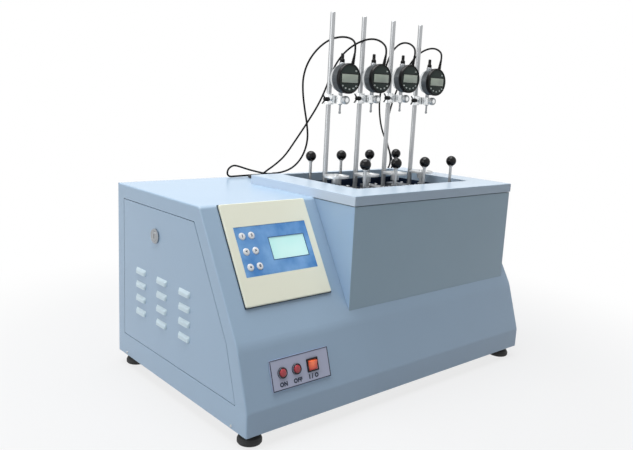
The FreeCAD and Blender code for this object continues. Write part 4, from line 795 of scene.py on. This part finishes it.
# Oil bath: a square sleeve of coated sheet standing out of the sloping front, under a folded rim that is
# coated lighter. Both are drawn paler on their left faces, painted light for the lit side. Inside hang the
# tank, the slotted deck, the heater and the stirrer, all dull with oil; the tank and the deck are coloured
# dark as painted shade for the shadowed inside of the bath.
# The sleeve's and the rim's left faces are drawn paler: painted light for the lit side.
housing_left = min(vertex.co.x for vertex in frame["nodes"]["bath_housing"].data.vertices)
rim_left = min(vertex.co.x for vertex in frame["nodes"]["bath_rim"].data.vertices)
dress("bath_housing", powder_coat("bath_powder_coat", "#98B3C4", 0.45, "#A9C5E1", housing_left))
dress("bath_rim", powder_coat("rim_powder_coat", "#AEC3D6", 0.38, "#D0DEEE", rim_left))


def oil_smear_and_shade_steel(name, code, roughness):
    """Stainless sheet smeared with old oil in soft patches a few centimetres wide, on a given dark colour."""
    steel, tree, shader = finish_of(name, code, roughness, Metallic=0.85)
    here = add(tree, "TexCoord", {})
    smear = noise(tree, here, 26.0, 5.0)
    sheen = spread(tree, smear.outputs["Fac"], roughness - 0.12, roughness + 0.15)
    tree.links.new(sheen.outputs[0], shader.inputs["Roughness"])
    tone = spread(tree, smear.outputs["Fac"], 0.75, 1.2)
    mixed = add(tree, "MixRGB", {"Fac": 1.0, "Color1": linear(code), "Color2": tone.outputs[0]},
                blend_type="MULTIPLY")
    tree.links.new(mixed.outputs[0], shader.inputs["Base Color"])
    return steel


# The tank's and the deck's dark navy colours are painted shade for the shadowed inside of the bath; the
# heater's brown is the oxide on its sheath.
dress("oil_tank", oil_smear_and_shade_steel("tank_painted_shade_steel", "#2C3A52", 0.34))
dress("bath_deck", oil_smear_and_shade_steel("deck_painted_shade_steel", "#1E2530", 0.38))
dress("heater", oil_smear_and_shade_steel("heater_sheath_oxide", "#4B3F38", 0.42))
dress("stirrer_motor", powder_coat("motor_enamel", "#1B1C20", 0.5))


def ground_steel(name, code, roughness, axis, spacing):
    """Ground or turned steel: fine lines along one axis, at a spacing in millimetres."""
    steel, tree, shader = finish_of(name, code, roughness, Metallic=1.0)
    here = add(tree, "TexCoord", {})
    across = [1 / (spacing * MM)] * 3
    across["XYZ".index(axis)] = 6.0
    stretch = add(tree, "Mapping", {"Vector": here.outputs["Object"], "Scale": across})
    lines = add(tree, "TexNoise", {"Vector": stretch.outputs[0], "Scale": 1.0, "Detail": 2.0})
    sheen = spread(tree, lines.outputs["Fac"], roughness - 0.08, roughness + 0.1)
    tree.links.new(sheen.outputs[0], shader.inputs["Roughness"])
    relief = add(tree, "Bump", {"Height": lines.outputs["Fac"], "Strength": 0.08, "Distance": 0.0002})
    tree.links.new(relief.outputs["Normal"], shader.inputs["Normal"])
    return steel


dress("temperature_probe", ground_steel("probe_drawn_steel", "#BFC2C4", 0.28, "Z", 0.8))
dress("stirrer_shaft", ground_steel("shaft_turned_steel", "#AEB1B4", 0.3, "Z", 0.9))

# Load rods: turned stainless rods with a shallow tray for the weights, bright from the lathe.
tray_steel = ground_steel("load_rod_turned_steel", "#DADCDD", 0.3, "Z", 1.0)
for number in range(1, 5):
    dress(f"load_rod_{number}", tray_steel)

# Test frames: ground steel plates, side rods and a tall post, with two handles that end in black phenolic
# balls. Socket screws hold the rods and the post to the plate.
frame_steel = ground_steel("frame_ground_steel", "#A9ABAD", 0.34, "Z", 1.2)
ball_phenolic = moulded("ball_phenolic_black", "#050506", 0.16, grain=60.0, depth=0.02,
                        Specular_IOR_Level=0.25)
STATION_X = (-9.4, 78.4, 166.2, 254.0)
BALL_RADIUS = 11.15


def ball_steps():
    """The outline of a ball with a flat foot where its bush is."""
    steps = [(5.2, -10.15), (5.6, -10.05)]
    for degrees in range(-56, 90, 8):
        steps.append((BALL_RADIUS * math.cos(math.radians(degrees)),
                      BALL_RADIUS * math.sin(math.radians(degrees))))
    return steps + [(0.3, BALL_RADIUS)]


ball = turned("ball_knob", ball_steps(), sides=40)
bush = turned("ball_bush", [(4.3, -12.4), (4.6, -12.0), (4.6, -10.4), (4.4, -10.1)], sides=24)
cap_screw = turned("cap_screw", [(3.6, 0), (3.6, 3.2), (3.2, 3.6), (2.1, 3.6), (2.0, 1.6)], sides=20)
for number, x in enumerate(STATION_X, start=1):
    dress(f"test_frame_{number}", frame_steel)
    body = f"station_{number}"
    for side, y in (("front", -94.7), ("back", 70.7)):
        fitted(copied(ball, f"ball_{side}_{number}", shift(x, y, 432.4)), body, ball_phenolic)
    metal = [copied(bush, "bush", shift(x, y, 432.4)) for y in (-94.7, 70.7)]
    metal += [copied(cap_screw, "screw", shift(x + dx, y, 363.3)) for dx in (-9, 9) for y in (-78, -34, 10,
                                                                                              54)]
    fitted(joined(f"frame_fixings_{number}", metal), body, screw_zinc)
for master in (ball, bush, cap_screw):
    bpy.data.objects.remove(master)

# Indicator clamps: split aluminium blocks that grip the post and hold the indicator's stem. A knurled thumb
# knob at the front pinches the stem, and a black wing screw at the left pinches the post.
clamp_alloy = ground_steel("clamp_satin_aluminium", "#EBEDEE", 0.36, "X", 1.4)
for number in range(1, 5):
    dress(f"clamp_{number}", clamp_alloy)
GAUGE_Z = (595.5, 599.7, 603.4, 600.5)
TO_FRONT = Matrix.Rotation(math.pi / 2, 4, "X")
TO_SIDE = Matrix.Rotation(-math.pi / 2, 4, "Y")


def ribbed(name, inner, outer, low, high, ribs):
    """A ring with ribs along its axis, made from a disc whose every second point is drawn in."""
    piece = turned(name, [(inner - 0.6, low), (outer, low + 0.01), (outer, high - 0.01), (inner - 0.6, high)],
                   sides=2 * ribs)
    for vertex in piece.data.vertices:
        reach = math.hypot(vertex.co.x, vertex.co.y)
        step = round(math.atan2(vertex.co.y, vertex.co.x) / (math.pi / ribs))
        if reach > (inner - 0.1) * MM and step % 2:
            vertex.co.x *= inner * MM / reach
            vertex.co.y *= inner * MM / reach
    for face in piece.data.polygons:
        face.use_smooth = False
    return piece


grip = joined("thumb_grip", [ribbed("grip_ring", 7.75, 8.25, 4.9, 11.1, 30),
                             turned("grip_face", [(7.2, 4.2), (7.9, 4.8), (7.9, 11.2), (7.3, 12.15),
                                                  (4.6, 12.2), (4.2, 11.9)], sides=40)])
grip.data.transform(TO_FRONT)
grip_alloy = ground_steel("grip_turned_aluminium", "#8F9395", 0.36, "Y", 0.9)

wing_nylon = moulded("wing_screw_nylon_black", "#050506", 0.45, Specular_IOR_Level=0.2)


def wing(name, side):
    """One raked wing of the screw, tapered and rounded from a block."""
    clear()
    bpy.ops.mesh.primitive_cube_add(size=1)
    piece = bpy.context.object
    piece.name = piece.data.name = name
    bpy.ops.object.mode_set(mode="EDIT")
    bpy.ops.transform.resize(value=(4.2 * MM, 3.2 * MM, 9.5 * MM), center_override=(0, 0, 0))
    bpy.ops.object.mode_set(mode="OBJECT")
    for vertex in piece.data.vertices:
        if vertex.co.z > 0:
            vertex.co.x = vertex.co.x * 0.6 - 8.4 * MM
            vertex.co.y *= 0.85
        vertex.co.z += 4.75 * MM
        vertex.co.x -= 21.0 * MM
        vertex.co.z *= side
    bpy.ops.object.mode_set(mode="EDIT")
    bpy.ops.mesh.select_all(action="SELECT")
    bpy.ops.mesh.normals_make_consistent(inside=False)
    bpy.ops.mesh.bevel(offset=0.7 * MM, segments=3)
    bpy.ops.object.mode_set(mode="OBJECT")
    return smooth(piece)


wing_hub = turned("wing_hub", [(3.4, 12.0), (4.1, 12.4), (4.4, 14.5), (4.4, 21.0), (3.8, 24.0),
                               (2.6, 25.0)], sides=32)
wing_hub.data.transform(TO_SIDE)
wings = joined("wings", [wing_hub, wing("wing_up", 1), wing("wing_down", -1)])
wing_stem = turned("wing_stem", [(2.2, -5.0), (2.5, -4.6), (2.5, 13.0)], sides=24)
wing_stem.data.transform(TO_SIDE)
for number, (x, z) in enumerate(zip(STATION_X, GAUGE_Z), start=1):
    fitted(copied(grip, f"thumb_grip_{number}", shift(x, -20, z - 42)), f"carriage_{number}", grip_alloy)
    spot = shift(x, 9, z - 42)
    fitted(copied(wings, f"wing_screw_grip_{number}", spot), f"wing_screw_{number}", wing_nylon,
           f"wing_screw_{number}")
    fitted(copied(wing_stem, f"wing_screw_stem_{number}", spot), f"wing_screw_{number}", screw_zinc)
for master in (grip, wings, wing_stem):
    bpy.data.objects.remove(master)

# Digital indicators: die-cast backs with a ribbed dark band, a black bezel round a grey-green face, a
# liquid crystal window and pale rubber keys. The stem is ground steel and the cable leaves through a ribbed
# rubber boot.
case_metal = ground_steel("indicator_cast_alloy", "#D2D5D6", 0.32, "Y", 1.6)
band_plastic = ground_steel("indicator_band_alloy", "#585C5F", 0.34, "Y", 1.2)
bezel_black = moulded("indicator_bezel_black", "#060607", 0.3, Specular_IOR_Level=0.2)
face_green = moulded("indicator_face_grey_green", "#313C38", 0.45, Specular_IOR_Level=0.2)
gauge_glass, glass_tree, glass_shader = finish_of("indicator_liquid_crystal", "#AEBBA4", 0.1, Coat_Weight=0.5)
glass_here = add(glass_tree, "TexCoord", {})
glass_cloud = noise(glass_tree, glass_here, 40.0, 1.0)
glass_ramp = add(glass_tree, "ValToRGB", {"Fac": glass_cloud.outputs["Fac"]})
glass_ramp.color_ramp.elements[0].color = linear("#A9B8A4")
glass_ramp.color_ramp.elements[1].color = linear("#D2DDC9")
glass_tree.links.new(glass_ramp.outputs[0], glass_shader.inputs["Base Color"])
gauge_key = moulded("indicator_key_rubber", "#CDD3CE", 0.5)
boot_rubber = moulded("boot_rubber_black", "#040405", 0.6, Specular_IOR_Level=0.15)
stem_steel = ground_steel("indicator_stem_steel", "#9DA0A3", 0.26, "Z", 0.9)

case = turned("indicator_case", [(22.6, -7.0), (24.2, -6.4), (25.0, -5.0), (25.0, 1.0), (27.9, 3.0),
                                 (27.9, 18.2)], sides=64)
band = ribbed("indicator_band", 28.0, 28.7, 3.4, 17.8, 66)
bezel = turned("indicator_bezel", [(29.0, 18.0), (29.7, 18.5), (29.7, 23.6), (29.3, 25.0), (28.3, 26.0),
                                   (27.0, 26.0),
                                   (26.3, 25.2), (26.2, 24.4)], sides=72)
dial = turned("indicator_dial", [(26.1, 24.3), (26.1, 24.9), (25.7, 25.0)], sides=64)
glass = block("indicator_glass", (-21.5, -8, 24.6), (21.5, 8.5, 25.35), 0.35)
surround = border("indicator_surround", (-22.6, -9.1), (22.6, 9.6), 1.2, 0.65, 24.8)
gauge_keys = []
for dx, dz in ((-18.5, -14.2), (-10.5, -18.8), (0, -20.6), (10.5, -18.8), (18, -14.2), (15.5, 15.0)):
    knob = turned("key", [(1.9, 24.9), (1.9, 25.5), (1.4, 25.8)], sides=16)
    knob.data.transform(Matrix.Translation((dx * MM, dz * MM, 0)) @ Matrix.Diagonal((1.25, 0.85, 1, 1)))
    gauge_keys.append(knob)
keypad = joined("indicator_keys", gauge_keys)
for flat in (case, band, bezel, dial, glass, surround, keypad):
    flat.data.transform(TO_FRONT)
stem = joined("indicator_stem", [turned("stem_low", [(3.6, -52), (4.0, -51.5), (4.0, -24)], sides=32),
                                 turned("stem_top", [(5.2, 24), (6.0, 25), (6.0, 30.4), (5.5, 31)],
                                        sides=32)])
boot_steps = [(3.6, 0)]
for rib in range(6):
    low = 1.5 + rib * 3.2
    radius = 3.9 - rib * 0.22
    boot_steps += [(radius - 0.55, low), (radius, low + 0.5), (radius, low + 1.7), (radius - 0.55, low + 2.2)]
boot = turned("indicator_boot", boot_steps + [(2.55, 23.0), (2.35, 24.0)], sides=28)
boot.data.transform(shift(8, -21, 24) @ Matrix.Rotation(math.radians(11.5), 4, "Y"))

cap_black = moulded("spindle_cap_black", "#040405", 0.45, Specular_IOR_Level=0.2)
spindle_cap = turned("spindle_cap", [(4.6, 31.4), (4.9, 31.8), (4.9, 36.0), (4.2, 37.6), (3.3, 38.6),
                                     (3.2, 47.6),
                                     (2.4, 49.1), (0.6, 49.15)], sides=32)
spindle_steel = ground_steel("spindle_hardened_steel", "#86898C", 0.22, "Z", 0.8)
gauge_pieces = (("case", case, case_metal, "clamp_steel"), ("band", band, band_plastic, "black_plastic"),
                ("bezel", bezel, bezel_black, "black_plastic"), ("dial", dial, face_green, "black_plastic"),
                ("glass", glass, gauge_glass, "display_cyan"),
                ("surround", surround, bezel_black, "black_plastic"),
                ("keys", keypad, gauge_key, "key_white"), ("stem", stem, stem_steel, "turned_steel"),
                ("boot", boot, boot_rubber, "cable_rubber"))
for number, (x, z) in enumerate(zip(STATION_X, GAUGE_Z), start=1):
    spot = shift(x, -12, z)
    for part, master, finish, slot in gauge_pieces:
        fitted(copied(master, f"indicator_{part}_{number}", spot), f"carriage_{number}", finish,
               f"indicator_{number}" if part == "case" else None)
    dress(f"spindle_{number}", spindle_steel)
    fitted(copied(spindle_cap, f"spindle_cap_{number}", spot), f"spindle_{number}", cap_black)
for master in (case, band, bezel, dial, glass, surround, keypad, stem, boot, spindle_cap):
    bpy.data.objects.remove(master)

# Mains inlet and cable glands: black nylon mouldings pushed into the sheet.
inlet_nylon = moulded("inlet_nylon_black", "#151619", 0.42)
dress("mains_inlet", inlet_nylon)
dress("cable_glands", inlet_nylon)
